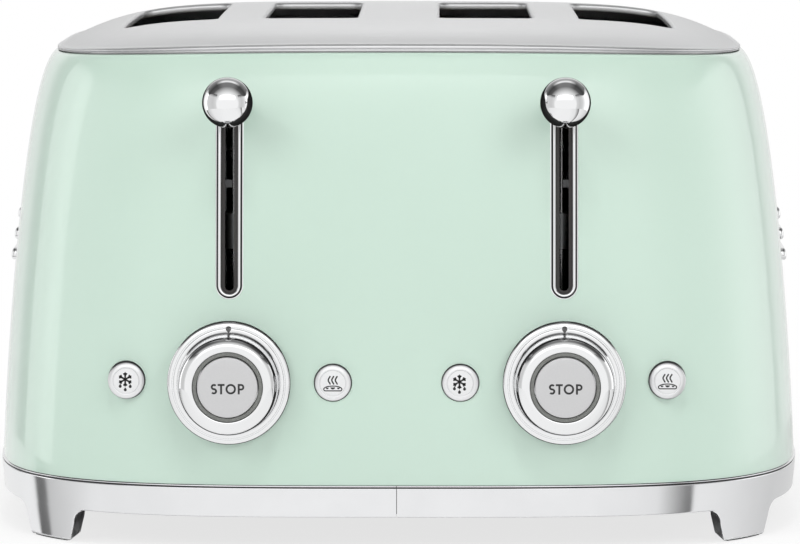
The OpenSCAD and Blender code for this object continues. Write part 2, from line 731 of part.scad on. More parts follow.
// Half of a dial's section: skirt, groove, waist, rounded brow, face, ring recess and hub
module dial_section() polygon(concat(
    [[stem_r + slide_gap, -hub_back], [hub_r, -hub_back], [hub_r, 0], [dial_r - 0.5, 0],
        [dial_r, 0.4], [dial_r, 1.1], [dial_r - 0.6, 1.9], [dial_r - 1.8, 2.25],
        [dial_r - 2.1, 1.95], [dial_r - 2.5, 2.4], [dial_r - 3.8, 2.7],
        [dial_r - 4.5, 3.3], [dial_r - 5, 4.6], [waist_r, 7]],
    [for (angle = [0:15:90])
        [brow_in + brow_w * cos(angle), dial_h - brow_h + brow_h * sin(angle)]],
    [[ring_r + 0.4, dial_h], [ring_r + run_gap, dial_h - 0.4],
        [ring_r + run_gap, dial_h - ring_depth], [stop_bore, dial_h - ring_depth],
        [stop_bore, pocket_h], [stem_r + slide_gap, pocket_h]]));

module dial(s) color("#dfe1e3") centred() difference() {
    turn_front(s * control_x, dial_seat, dial_z) dial_section();
    // Index mark on the skirt at the top
    for (up = [2.6, 1.4]) bar_front(s * control_x, dial_z + dial_r - up, up / 3,
        dial_seat + 1.3, dial_seat + 4);
}

module light_ring(s) color("#8b8d8a") centred() turn_front(s * control_x, dial_seat, dial_z)
    translate([stop_bore, dial_h - ring_depth]) square([ring_r - stop_bore, ring_depth - 0.5]);

// Discs are slightly crowned, with a broken edge
module stop_button(s) color("#cfd1d2") centred() turn_front(s * control_x, dial_seat, dial_z)
    polygon([[0, plunger_y() - dial_seat + press + slide_gap],
        [stem_r, plunger_y() - dial_seat + press + slide_gap], [stem_r, dial_h - 3.4],
        [stop_r, dial_h - 3.4], [stop_r, dial_h + stop_proud - 0.5],
        [stop_r - 0.5, dial_h + stop_proud - 0.1], [stop_r - 3, dial_h + stop_proud],
        [0, dial_h + stop_proud]]);
function plunger_y() = board_y + switch_h;

module escutcheon(s) color("#c9cccd") centred() turn_front(s * control_x, dial_seat, dial_z)
    polygon([[hub_r + run_gap, -12], [hub_r + 3, -12], [hub_r + 3, -3.3],
        [escutcheon_r - 2, -3.3], [escutcheon_r - 2, carrier_y - dial_seat],
        [escutcheon_r, carrier_y - dial_seat], [escutcheon_r, -slide_gap],
        [hub_r + run_gap, -slide_gap]]);

// A push button whose flat face clears the wall on the side nearer the middle
module push_button(x) {
    face = wall_at(abs(x) - button_r, dial_z - button_r) + 1.6;
    turn_front(x, face, dial_z) polygon([[0, plunger_y() - face + press + slide_gap],
        [plunger_r, plunger_y() - face + press + slide_gap],
        [plunger_r, carrier_y + 2.5 - face], [button_r, carrier_y + 2.5 - face],
        [button_r, -1.3], [button_r - 0.4, -0.8], [button_r - 1.8, -0.15],
        [button_r - 2.1, -0.3], [button_r - 2.4, 0], [0, 0]]);
}
module defrost_button(s) color("#e3e5e6") centred() push_button(s * control_x - button_dx);
module reheat_button(s) color("#e3e5e6") centred() push_button(s * control_x + button_dx);

// Moulded carrier: a plate with a sleeve for each button, on four posts from the bulkhead
module control_carrier(s) color("#4a4d50") centred() {
    x = s * control_x;
    intersection() {
        wrap_wedge(-wrap_wall - slide_gap, front_side(s), front_side(s) + quarter,
            low_levels);
        difference() {
            union() {
                block(x - carrier_half, x + carrier_half, -carrier_y,
                    -carrier_y + carrier_t, dial_z - carrier_low, dial_z + carrier_low);
                for (k = [-1, 1]) bar_front(x + k * button_dx, dial_z,
                    button_r + run_gap * 2 + sleeve_wall, carrier_y - eps, body_d / 2);
            }
            bar_front(x, dial_z, hub_r + 3.5, 0, body_d);
            for (k = [-1, 1]) {
                bar_front(x + k * button_dx, dial_z, button_r + run_gap, carrier_y, body_d);
                bar_front(x + k * button_dx, dial_z, plunger_r + 1.9, 0, body_d);
            }
        }
    }
    for (k = [-1, 1], up = [-1, 1]) {
        bar_front(x + k * post_x, dial_z + up * post_z, post_r, front_bulk + sheet,
            carrier_y - carrier_t + eps);
        bar_front(x + k * (board_half - 16), dial_z + up * (carrier_low - 4), 2.5, board_y,
            carrier_y - carrier_t + eps);
    }
}

module control_board(s) color("#2f6b45") centred() {
    x = s * control_x;
    block(x - board_half, x + board_half, -board_y, -board_y + board_t,
        dial_z - carrier_low + 1, dial_z + carrier_low - 1);
    for (k = [-1, 1]) translate([x + k * button_dx, -board_y - switch_h / 2, dial_z])
        cube([6, switch_h + eps, 6], center = true);
    difference() {
        bar_front(x, dial_z, hub_r + 2, board_y - eps, encoder_y);
        bar_front(x, dial_z, stem_r + 0.5, board_y - 1, encoder_y + 1);
    }
    bar_front(x, dial_z, plunger_r, board_y - eps, board_y + switch_h);
    block(x - 14, x + 2, -board_y + board_t - eps, -board_y + board_t + 2.4,
        dial_z - 8, dial_z + 8);
    for (k = [0:2]) bar_front(x + 18 + k * 8, dial_z - 10, 3, board_y - board_t - 6,
        board_y - board_t + eps);
}

// ---- Chassis ----

// Slots that a bulkhead has for the lifters' blades and the bread guides' rods
module bulkhead_slots() {
    travel_low = lifter_z - lever_travel - blade_h;
    for (x = slot_xs()) translate([x, 0]) {
        upright_slot(2 * thin_sheet + 2 * slide_gap, travel_low - 2, lifter_z + 4);
        for (k = [-1, 1], z = [guide_low_z, guide_top_z])
            translate([k * (guide_open - guide_travel / 2), z])
                level_slot(guide_travel + guide_rod_d + 2 * slide_gap,
                    guide_rod_d + 2 * slide_gap);
    }
}

module bulkhead_sheet(y, flange) {
    push_front(0, -y - (flange > 0 ? 0 : sheet), -y + (flange > 0 ? sheet : 0)) difference() {
        translate([-chassis_half, floor_z])
            square([2 * chassis_half, chassis_top_z - floor_z]);
        bulkhead_slots();
    }
    difference() {
        block(-chassis_half, chassis_half, min(y, y + flange * flange_w),
            max(y, y + flange * flange_w), floor_z, floor_z + sheet);
        for (x = screw_x) translate([x, y + flange * flange_w / 2, 0])
            cylinder(r = screw_r + 0.1, h = through, $fn = 24);
    }
}

module chassis_front() color("#b4b7b9") centred() {
    difference() {
        bulkhead_front();
        for (s = [left, right]) translate([s * control_x, -rod_y, bracket_z - 1])
            cylinder(r = rod_d / 2 + slide_gap, h = chassis_top_z - bracket_z + 2, $fn = fine);
    }
}

module bulkhead_front() {
    bulkhead_sheet(-front_bulk, 1);
    for (s = [left, right]) {
        near = rod_d / 2 + bracket_rim;
        far = spring_x + bracket_rim;
        block(s * control_x - (s > 0 ? near : far), s * control_x + (s > 0 ? far : near),
            -rod_y - bracket_rim, -front_bulk, bracket_z, chassis_top_z);
    }
}

module chassis_rear() color("#b4b7b9") centred() {
    difference() {
        bulkhead_sheet(rear_bulk, -1);
        for (s = [left, right]) tray_bay(s, 1);
    }
    for (x = [-1, 1], z = [power_z + 5, power_z + power_h - 5])
        translate([x * (power_half - 5), rear_bulk + sheet - eps, z]) rotate([-90, 0, 0])
            cylinder(r = 3, h = power_gap + eps, $fn = 24);
}

module side_shield(s) color("#c6c9cb") centred()
    translate([s * shield_x, cage_y, 0]) rotate([90, 0, 90])
        translate([0, 0, -thin_sheet / 2]) linear_extrude(thin_sheet) difference() {
            translate([-cage_l / 2 + seat_gap / 2, shield_low_z])
                square([cage_l - seat_gap, shield_top_z - shield_low_z]);
            for (j = [-3:3], up = [0.2, 0.5, 0.8])
                translate([j * cage_l / 8, shield_low_z + up * (shield_top_z - shield_low_z)])
                    level_slot(16, 4);
        }

module centre_shield() color("#c6c9cb") centred()
    block(-thin_sheet / 2, thin_sheet / 2, -front_bulk + seat_gap / 2,
        rear_bulk - seat_gap / 2, shield_low_z, shield_top_z);

// Distances of a pair's three heater cards from the centre plane
function mica_xs() = [pair_x - slot_pitch / 2 - mica_side, pair_x,
    pair_x + slot_pitch / 2 + mica_side];

module mica_cards() color("#b9a98a") centred() for (s = [left, right], x = mica_xs())
    block(s * x - mica_t / 2, s * x + mica_t / 2, -front_bulk + seat_gap / 2,
        rear_bulk - seat_gap / 2, mica_low_z, mica_low_z + mica_h);

// One face's heating ribbon: rows joined at alternate ends
module ribbon() {
    pitch = (mica_h - 16) / (ribbon_rows - 1);
    for (k = [0:ribbon_rows - 1]) block(0, ribbon_t, -slot_front + 4, slot_rear - 4,
        mica_low_z + 8 + k * pitch - ribbon_h / 2, mica_low_z + 8 + k * pitch + ribbon_h / 2);
    for (k = [0:ribbon_rows - 2]) {
        end_y = k % 2 == 0 ? slot_rear - 4 - ribbon_h : -slot_front + 4;
        block(0, ribbon_t, end_y, end_y + ribbon_h, mica_low_z + 8 + k * pitch,
            mica_low_z + 8 + (k + 1) * pitch);
    }
}

module heater_ribbons() color("#8c7d6b") centred() for (s = [left, right]) {
    xs = mica_xs();
    for (x = [xs[0], xs[1]]) mirror([s > 0 ? 0 : 1, 0, 0])
        translate([x + mica_t / 2, 0, 0]) ribbon();
    for (x = [xs[1], xs[2]]) mirror([s > 0 ? 0 : 1, 0, 0])
        translate([x - mica_t / 2 - ribbon_t, 0, 0]) ribbon();
}

// Two racks of one pair that close in the same direction
module guide_racks(s, outer) color("#c8cacc") centred() for (k = [-1, 1])
    translate([s * (pair_x + k * slot_pitch / 2 + outer * guide_open), 0, 0]) {
        for (z = [guide_low_z, guide_top_z])
            bar_front(0, z, guide_rod_d / 2, -rear_bulk - sheet - guide_reach,
                front_bulk + sheet + guide_reach - 0.5);
        for (j = [0:guide_wires - 1])
            translate([0, -slot_front + 8 + j * (slot_l - 16) / (guide_wires - 1),
                guide_low_z]) cylinder(d = guide_wire, h = guide_top_z - guide_low_z,
                $fn = 24);
    }

// ---- Crumb trays ----

module crumb_tray(s) color("#bfc2c4") centred() {
    x0 = s * pair_x - tray_w / 2;
    x1 = s * pair_x + tray_w / 2;
    y0 = -slot_front - 6;
    difference() {
        union() {
            block(x0, x1, y0, rear_bulk, tray_z, tray_top_z);
            intersection() {
                block(x0, x1, rear_bulk - eps, body_d, tray_z, tray_top_z);
                wrap_wedge(face_out, back_side(s), back_side(s) + quarter, tray_levels);
            }
        }
        block(x0 + tray_wall, x1 - tray_wall, y0 + tray_wall, rear_bulk,
            tray_z + tray_wall, tray_top_z + 1);
        intersection() {
            block(x0 + tray_wall, x1 - tray_wall, rear_bulk - 1, body_d,
                tray_z + tray_wall, tray_top_z + 1);
            wrap_wedge(-wrap_wall, back_side(s), back_side(s) + quarter, tray_levels);
        }
    }
    // Curved face over the opening, with a ledge for the fingers
    intersection() {
        block(x0 - tray_lap, x1 + tray_lap, 0, body_d, tray_z - tray_lap,
            tray_top_z + tray_lap);
        wrap_skin(slide_gap, face_out, back_side(s), back_side(s) + quarter, tray_levels);
    }
    difference() {
        block(s * pair_x - 24, s * pair_x + 24, body_d / 3, rear_reach,
            tray_z + tray_h / 2 - 1.5, tray_z + tray_h / 2 + 1.5);
        wrap_wedge(face_out / 2, back_side(s), back_side(s) + quarter, tray_levels);
    }
}

// ---- Electrics at the back ----

power_z = tray_top_z + 24;
power_h = 76;
power_half = 66;
power_gap = 8;
unit = power_half / 6;
module power_board() color("#2f6b45") centred() {
    y = rear_bulk + sheet + power_gap;
    block(-power_half, power_half, y, y + board_t, power_z, power_z + power_h);
    back = y + board_t - eps;
    // Transformer, two relays, terminal block and three capacitors
    block(-4.5 * unit, -1.5 * unit, back, back + 2.4 * unit, power_z + 0.7 * unit,
        power_z + 3.6 * unit);
    for (k = [0:1]) block((2.2 * k - 0.5) * unit, (2.2 * k + 1.1) * unit, back,
        back + 1.4 * unit, power_z + 0.9 * unit, power_z + 3.1 * unit);
    block(-2 * unit, 2 * unit, back, back + 1.1 * unit, power_z + power_h - 1.6 * unit,
        power_z + power_h - 0.5 * unit);
    for (k = [0:2]) translate([(1.3 * k - 4) * unit, back, power_z + 4.7 * unit])
        rotate([-90, 0, 0]) cylinder(r = 0.45 * unit, h = 1.3 * unit, $fn = 24);
}

module screws() color("#8f9194") centred()
    for (x = screw_x, y = [-front_bulk + flange_w / 2, rear_bulk - flange_w / 2])
        translate([x, y, 0]) {
            translate([0, 0, plate_z - 2]) cylinder(r = 3, h = 2, $fn = 24);
            translate([0, 0, plate_z - 1]) cylinder(r = screw_r, h = plate_t + sheet + 3,
                $fn = 24);
        }

body_shell();
top_cover();
base_trim(left);  // base_trim_left
base_trim(right);  // base_trim_right
base_plate();
rubber_feet();
lever_bezel(left);  // lever_bezel_left
lever_bezel(right);  // lever_bezel_right
slot_liner(left);  // slot_liner_left
slot_liner(right);  // slot_liner_right
lever_arm(left);  // lever_arm_left
lever_arm(right);  // lever_arm_right
lever_knob(left);  // lever_knob_left
lever_knob(right);  // lever_knob_right
carriage(left);  // carriage_left
carriage(right);  // carriage_right
bread_lifters(left);  // bread_lifters_left
bread_lifters(right);  // bread_lifters_right
armature(left);  // armature_left
armature(right);  // armature_right
guide_rod(left);  // guide_rod_left
guide_rod(right);  // guide_rod_right
lift_spring(left);  // lift_spring_left
lift_spring(right);  // lift_spring_right
electromagnet(left);  // electromagnet_left
electromagnet(right);  // electromagnet_right
escutcheon(left);  // escutcheon_left
escutcheon(right);  // escutcheon_right
dial(left);  // dial_left
dial(right);  // dial_right
light_ring(left);  // light_ring_left
light_ring(right);  // light_ring_right
stop_button(left);  // stop_button_left
stop_button(right);  // stop_button_right
defrost_button(left);  // defrost_button_left
defrost_button(right);  // defrost_button_right
reheat_button(left);  // reheat_button_left
reheat_button(right);  // reheat_button_right
control_carrier(left);  // control_carrier_left
control_carrier(right);  // control_carrier_right
control_board(left);  // control_board_left
control_board(right);  // control_board_right
chassis_front();
chassis_rear();
side_shield(left);  // side_shield_left
side_shield(right);  // side_shield_right
centre_shield();
mica_cards();
heater_ribbons();
guide_racks(left, 1);  // guide_racks_left_outer
guide_racks(left, -1);  // guide_racks_left_inner
guide_racks(right, 1);  // guide_racks_right_outer
guide_racks(right, -1);  // guide_racks_right_inner
crumb_tray(left);  // crumb_tray_left
crumb_tray(right);  // crumb_tray_right
power_board();
cord_gland();
side_trims();
screws();
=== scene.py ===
import bpy
import bmesh
import json
import math
import numpy as np
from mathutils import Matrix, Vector, geometry


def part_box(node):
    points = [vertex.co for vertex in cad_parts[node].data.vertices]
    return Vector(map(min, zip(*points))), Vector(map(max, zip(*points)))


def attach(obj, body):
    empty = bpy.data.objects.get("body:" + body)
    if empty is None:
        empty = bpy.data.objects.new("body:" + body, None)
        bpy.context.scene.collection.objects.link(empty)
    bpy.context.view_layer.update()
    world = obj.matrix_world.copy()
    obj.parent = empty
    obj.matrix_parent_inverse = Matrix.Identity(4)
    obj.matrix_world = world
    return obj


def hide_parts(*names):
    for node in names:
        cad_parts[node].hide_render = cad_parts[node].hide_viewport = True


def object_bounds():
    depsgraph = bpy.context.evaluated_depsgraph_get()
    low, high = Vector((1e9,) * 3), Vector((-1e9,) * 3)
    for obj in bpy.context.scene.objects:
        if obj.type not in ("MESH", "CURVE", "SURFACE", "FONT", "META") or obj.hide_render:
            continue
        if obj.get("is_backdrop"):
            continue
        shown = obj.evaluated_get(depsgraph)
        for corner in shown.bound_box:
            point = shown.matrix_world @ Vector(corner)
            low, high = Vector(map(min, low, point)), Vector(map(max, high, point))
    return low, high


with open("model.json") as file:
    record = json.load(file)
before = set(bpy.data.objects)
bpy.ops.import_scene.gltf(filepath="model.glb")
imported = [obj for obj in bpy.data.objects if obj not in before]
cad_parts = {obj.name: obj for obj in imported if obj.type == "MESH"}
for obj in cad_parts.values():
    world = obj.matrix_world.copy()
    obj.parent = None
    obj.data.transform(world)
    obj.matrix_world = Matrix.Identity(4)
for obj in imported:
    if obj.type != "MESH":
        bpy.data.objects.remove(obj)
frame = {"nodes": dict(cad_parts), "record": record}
cad_low, cad_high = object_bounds()
MM = 0.001

# ---------------------------------------------------------------- the body's shape
# Distances in millimetres. Y is counted from the body's middle, which lies at CY in the frame.
# The plan is a superellipse with the exponent POWER at every height.
shell_lo, shell_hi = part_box("body_shell")
CY = (shell_lo.y + shell_hi.y) / 2 / MM
trim_lo, trim_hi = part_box("base_trim_right")
BODY_W = 2 * trim_hi.x / MM
BODY_D = (trim_hi.y - trim_lo.y) / MM
POWER = 3.7
# The wrap stands between the seam and its top edge, where it has leaned in and dropped towards the sides
SEAM_Z = shell_lo.z / MM
TOP_Z = shell_hi.z / MM
WRAP_A = shell_hi.x / MM
WRAP_B = (shell_hi.y - shell_lo.y) / 2 / MM
WALL = 1.2
LEAN_A, LEAN_B, LEAN_START, LEAN_ROUND = 22.8, 24.8, 1.25, 0.51
DROP, DROP_RISE, DROP_SIDE = 3.2, 6, 2.5
EDGE_A, EDGE_B = WRAP_A - LEAN_A, WRAP_B - LEAN_B
# The cover rises from a crease beside its rolled lip to a crest in the middle
CREST_Z = cad_high.z / MM
CREASE = 1.4
LIP_GAP, LIP_H, LIP_SAG = 0.3, 2.9, 1.45
DOME_EDGE, DOME_FALL = 6.85, 1.13
# A surface's field is about the distance from it, divided by this
FIELD_SIZE = 150.0
SIDES = (("left", -1), ("right", 1))


def lean(t):
    """How much of its lean the wrap has at a level, from 0 at the seam to 1 under the cover."""
    return 1 - (1 - np.clip(t, 0, 1) ** LEAN_START) ** LEAN_ROUND


def half_sizes(t):
    """The wrap's half width and half depth at a level."""
    return WRAP_A - LEAN_A * lean(t), WRAP_B - LEAN_B * lean(t)


def droop(share, t=1.0):
    """How far the wrap hangs down at a share of its half width, most at the sides."""
    return DROP * t**DROP_RISE * share**DROP_SIDE


def plan(n, first=0.0, last=360.0, closed=True):
    """n points evenly spaced along the plan outline: arrays of cosine and sine powers."""
    angle = np.radians(np.linspace(first, last, 24001))
    c = np.sign(np.cos(angle)) * np.abs(np.cos(angle)) ** (2 / POWER)
    s = np.sign(np.sin(angle)) * np.abs(np.sin(angle)) ** (2 / POWER)
    run = np.concatenate([[0], np.cumsum(np.hypot(np.diff(WRAP_A * c), np.diff(WRAP_B * s)))])
    at = np.linspace(0, run[-1], n + 1 if closed else n)
    if closed:
        at = at[:-1]
    return np.interp(at, run, c), np.interp(at, run, s)


def wrap_ring(t, c, s, grow=0.0):
    """The wrap's outline at a level, grown by a distance."""
    a, b = half_sizes(t)
    z = SEAM_Z + t * (TOP_Z - SEAM_Z) - droop(np.abs(c), t)
    return np.stack([(a + grow) * c, (b + grow) * s, z + 0 * c], -1)


def level_at(x, z):
    """The wrap's level t at a height, where x is about the distance from the centre plane."""
    t = np.clip((z - SEAM_Z) / (TOP_Z - SEAM_Z), 0, 1)
    for _ in range(6):
        share = np.clip(np.abs(x) / half_sizes(t)[0], 0, 1)
        t = np.clip((z + droop(share, t) - SEAM_Z) / (TOP_Z - SEAM_Z), 0, 1)
    return t


def wall_y(x, z):
    """How far the wrap's front lies in front of the body's middle."""
    a, b = half_sizes(level_at(x, z))
    return b * np.clip(1 - np.abs(x / a) ** POWER, 0, 1) ** (1 / POWER)


def wall_x(y, z):
    """How far the wrap's side lies from the centre plane."""
    a, b = half_sizes(np.clip((z - SEAM_Z) / (TOP_Z - SEAM_Z), 0, 1))
    return a * np.clip(1 - np.abs(y / b) ** POWER, 0, 1) ** (1 / POWER)


def wrap_field(p):
    """Zero on the wrap's painted face, as a share of its size."""
    a, b = half_sizes(level_at(p[:, 0], p[:, 2]))
    return (np.abs(p[:, 0] / a) ** POWER + np.abs(p[:, 1] / b) ** POWER) ** (1 / POWER) - 1


def field_normals(field, p, h=0.02):
    """The direction in which a field rises, from its differences over h to each side."""
    g = np.zeros_like(p)
    for k in range(3):
        d = np.zeros(3)
        d[k] = h
        g[:, k] = field(p + d) - field(p - d)
    return g / np.maximum(np.linalg.norm(g, axis=1, keepdims=True), 1e-12)


def lip_low(c):
    """Height of the cover's lip at its foot."""
    return TOP_Z + LIP_GAP - droop(np.abs(c))


def lip_high(c):
    """Height of the lip's top, where the cover's crease lies."""
    return lip_low(c) + LIP_H - LIP_SAG * np.abs(c) ** DROP_SIDE


def dome_z(x, y):
    """Height of the crowned cover."""
    u, v = np.abs(x) / (EDGE_A - CREASE), np.abs(y) / (EDGE_B - CREASE)
    r = np.clip((u**POWER + v**POWER) ** (1 / POWER), 1e-6, 1)
    top = lip_high(u / r)
    return top + (CREST_Z - top) * (1 - r**DOME_EDGE) ** DOME_FALL


# ---------------------------------------------------------------- mesh helpers
def placed(points):
    """Body millimetres to frame metres."""
    p = np.array(points, float).reshape(-1, 3)
    p[:, 1] += CY
    return p * MM


def mesh_object(name, points, faces):
    """A new object from points in frame metres."""
    mesh = bpy.data.meshes.new(name)
    mesh.from_pydata([tuple(v) for v in points], [], [tuple(f) for f in faces])
    obj = bpy.data.objects.new(name, mesh)
    bpy.context.scene.collection.objects.link(obj)
    return obj


def dress(mesh, material, crease):
    """One material and smooth shading, with edges above the crease angle left sharp."""
    mesh.materials.clear()
    mesh.materials.append(material)
    mesh.shade_smooth()
    mesh.set_sharp_from_angle(angle=math.radians(crease))


def make(name, points, faces, material, body, crease=38.0, hides=()):
    """A mesh piece from body millimetres."""
    obj = mesh_object(name, placed(points), faces)
    obj.data.validate()
    bm = bmesh.new()
    bm.from_mesh(obj.data)
    bmesh.ops.remove_doubles(bm, verts=bm.verts, dist=2e-6)
    bmesh.ops.dissolve_degenerate(bm, dist=1e-7, edges=bm.edges)
    bmesh.ops.recalc_face_normals(bm, faces=bm.faces)
    bm.to_mesh(obj.data)
    bm.free()
    dress(obj.data, material, crease)
    if hides:
        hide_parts(*hides)
    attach(obj, body)
    return obj


def quads(rows, cols, closed_cols=True, closed_rows=False):
    """Faces between rows of points, each with cols points."""
    out = []
    for i in range(rows if closed_rows else rows - 1):
        a, b = i * cols, ((i + 1) % rows) * cols
        for j in range(cols if closed_cols else cols - 1):
            k = (j + 1) % cols
            out.append((a + j, a + k, b + k, b + j))
    return out


def capped(rows, cols):
    """Faces between closed rows of points, and one face at either end."""
    ends = [tuple(range((rows - 1) * cols, rows * cols)), tuple(range(cols - 1, -1, -1))]
    return quads(rows, cols) + ends


def loft(name, rings, material, body, crease=38.0, hides=()):
    """A solid through closed rings of points."""
    faces = capped(len(rings), len(rings[0]))
    return make(name, np.vstack(rings), faces, material, body, crease, hides)


def tube(name, rings, material, body, crease=38.0, hides=()):
    """A closed sheet through closed rings of points, of which the last meets the first."""
    faces = quads(len(rings), len(rings[0]), True, True)
    return make(name, np.vstack(rings), faces, material, body, crease, hides)


def bow(x, z, rx, rz, first, last, steps):
    """Points along an elliptic arc, in degrees."""
    w = np.radians(np.linspace(first, last, steps))
    return [(x + rx * math.cos(a), z + rz * math.sin(a)) for a in w]


def lathe(name, profile, x, z, seat, material, body, slot, steps, crease, hides=(), closed=False):
    """Turns (radius, forward height over the seat) pairs about an axis that points to the front."""
    r, h = np.array(profile, float).T[:, :, None]
    angle = np.linspace(0, 2 * math.pi, steps, endpoint=False)
    pts = np.stack([x + r * np.cos(angle), -(seat + h) + 0 * angle, z + r * np.sin(angle)], -1)
    faces = quads(len(profile), steps, True, closed)
    return make(name, pts.reshape(-1, 3), faces, material, body, crease, hides)


def slot_line(x, half, z0, z1, n=28):
    """An upright slot with round ends as points with outward normals."""
    out = []
    for z, first, side in ((z1 - half, 0.0, -1.0), (z0 + half, 180.0, 1.0)):
        for k in range(n + 1):
            w = math.radians(first + 180.0 * k / n)
            out.append((x + half * math.cos(w), z + half * math.sin(w), math.cos(w), math.sin(w)))
        for k in range(1, 40):
            out.append((x + side * half, z + side * (z1 - z0 - 2 * half) * k / 40, side, 0.0))
    return np.array(out)


# ---------------------------------------------------------------- materials
def add(tree, kind, **values):
    """A new node with input values; an underscore stands for the space in an input's name."""
    return fill(tree.nodes.new(kind), **values)


def fill(node, **values):
    for key, value in values.items():
        node.inputs[key.replace("_", " ")].default_value = value
    return node


def new_material(name, color, metallic, roughness, **values):
    m = bpy.data.materials.new(name)
    m.use_nodes = True
    base = m.node_tree.nodes["Principled BSDF"]
    fill(base, Base_Color=(*color, 1), Metallic=metallic, Roughness=roughness, **values)
    return m


def srgb(r, g, b):
    def lin(v):
        v /= 255
        return v / 12.92 if v <= 0.04045 else ((v + 0.055) / 1.055) ** 2.4
    return (lin(r), lin(g), lin(b))


def feed(m, source, socket):
    """Leads a value into one of the material's own inputs."""
    m.node_tree.links.new(source, m.node_tree.nodes["Principled BSDF"].inputs[socket])


def noise(m, scale, detail, stretch=(1, 1, 1)):
    """Noise in the frame's own metres."""
    tree = m.node_tree
    place = add(tree, "ShaderNodeTexCoord")
    mapping = add(tree, "ShaderNodeMapping", Scale=stretch)
    n = add(tree, "ShaderNodeTexNoise", Scale=scale, Detail=detail, Roughness=0.55)
    tree.links.new(place.outputs["Object"], mapping.inputs["Vector"])
    tree.links.new(mapping.outputs["Vector"], n.inputs["Vector"])
    return n.outputs[0]


def vary_roughness(m, source, low, high):
    r = add(m.node_tree, "ShaderNodeMapRange", From_Min=0.3, From_Max=0.7, To_Min=low, To_Max=high)
    m.node_tree.links.new(source, r.inputs["Value"])
    feed(m, r.outputs[0], "Roughness")


def vary_color(m, source, dark, light):
    r = add(m.node_tree, "ShaderNodeValToRGB")
    for element, position, color in zip(r.color_ramp.elements, (0.3, 0.7), (dark, light)):
        element.position = position
        element.color = (*color, 1)
    m.node_tree.links.new(source, r.inputs["Fac"])
    feed(m, r.outputs["Color"], "Base Color")


def bump(m, source, strength, distance):
    b = add(m.node_tree, "ShaderNodeBump", Strength=strength, Distance=distance)
    m.node_tree.links.new(source, b.inputs["Height"])
    feed(m, b.outputs["Normal"], "Normal")


def finish(m, noise_source, light, dark, rough, spread, bumps):
    """Lets a material's colour and roughness wander a little."""
    vary_color(m, noise_source, dark, light)
    vary_roughness(m, noise_source, rough - spread, rough + spread)
    if bumps:
        bump(m, noise_source, *bumps)
    return m


def metal(name, light, dark, rough, spread, scale=60.0, stretch=(1, 1, 1), bumps=None, **more):
    m = new_material(name, light, 1.0, rough, **more)
    return finish(m, noise(m, scale, 5.0, stretch), light, dark, rough, spread, bumps)


def plastic(name, light, dark, rough, spread, scale=900.0, bumps=(0.15, 0.0001)):
    m = new_material(name, light, 0.0, rough)
    return finish(m, noise(m, scale, 3.0), light, dark, rough, spread, bumps)


def mint_enamel():
    """Stoved enamel under a clear coat, with a trace of orange peel."""
    coat = {"Coat_Weight": 1.0, "Coat_Roughness": 0.045, "Coat_IOR": 1.5}
    m = new_material("mint_enamel", srgb(190, 213, 199), 0.0, 0.34, **coat)
    cloud = noise(m, 5.0, 3.0)
    vary_color(m, cloud, srgb(189, 212, 198), srgb(193, 215, 202))
    vary_roughness(m, cloud, 0.32, 0.37)
    bump(m, noise(m, 420.0, 1.0), 0.012, 0.0002)
    return m


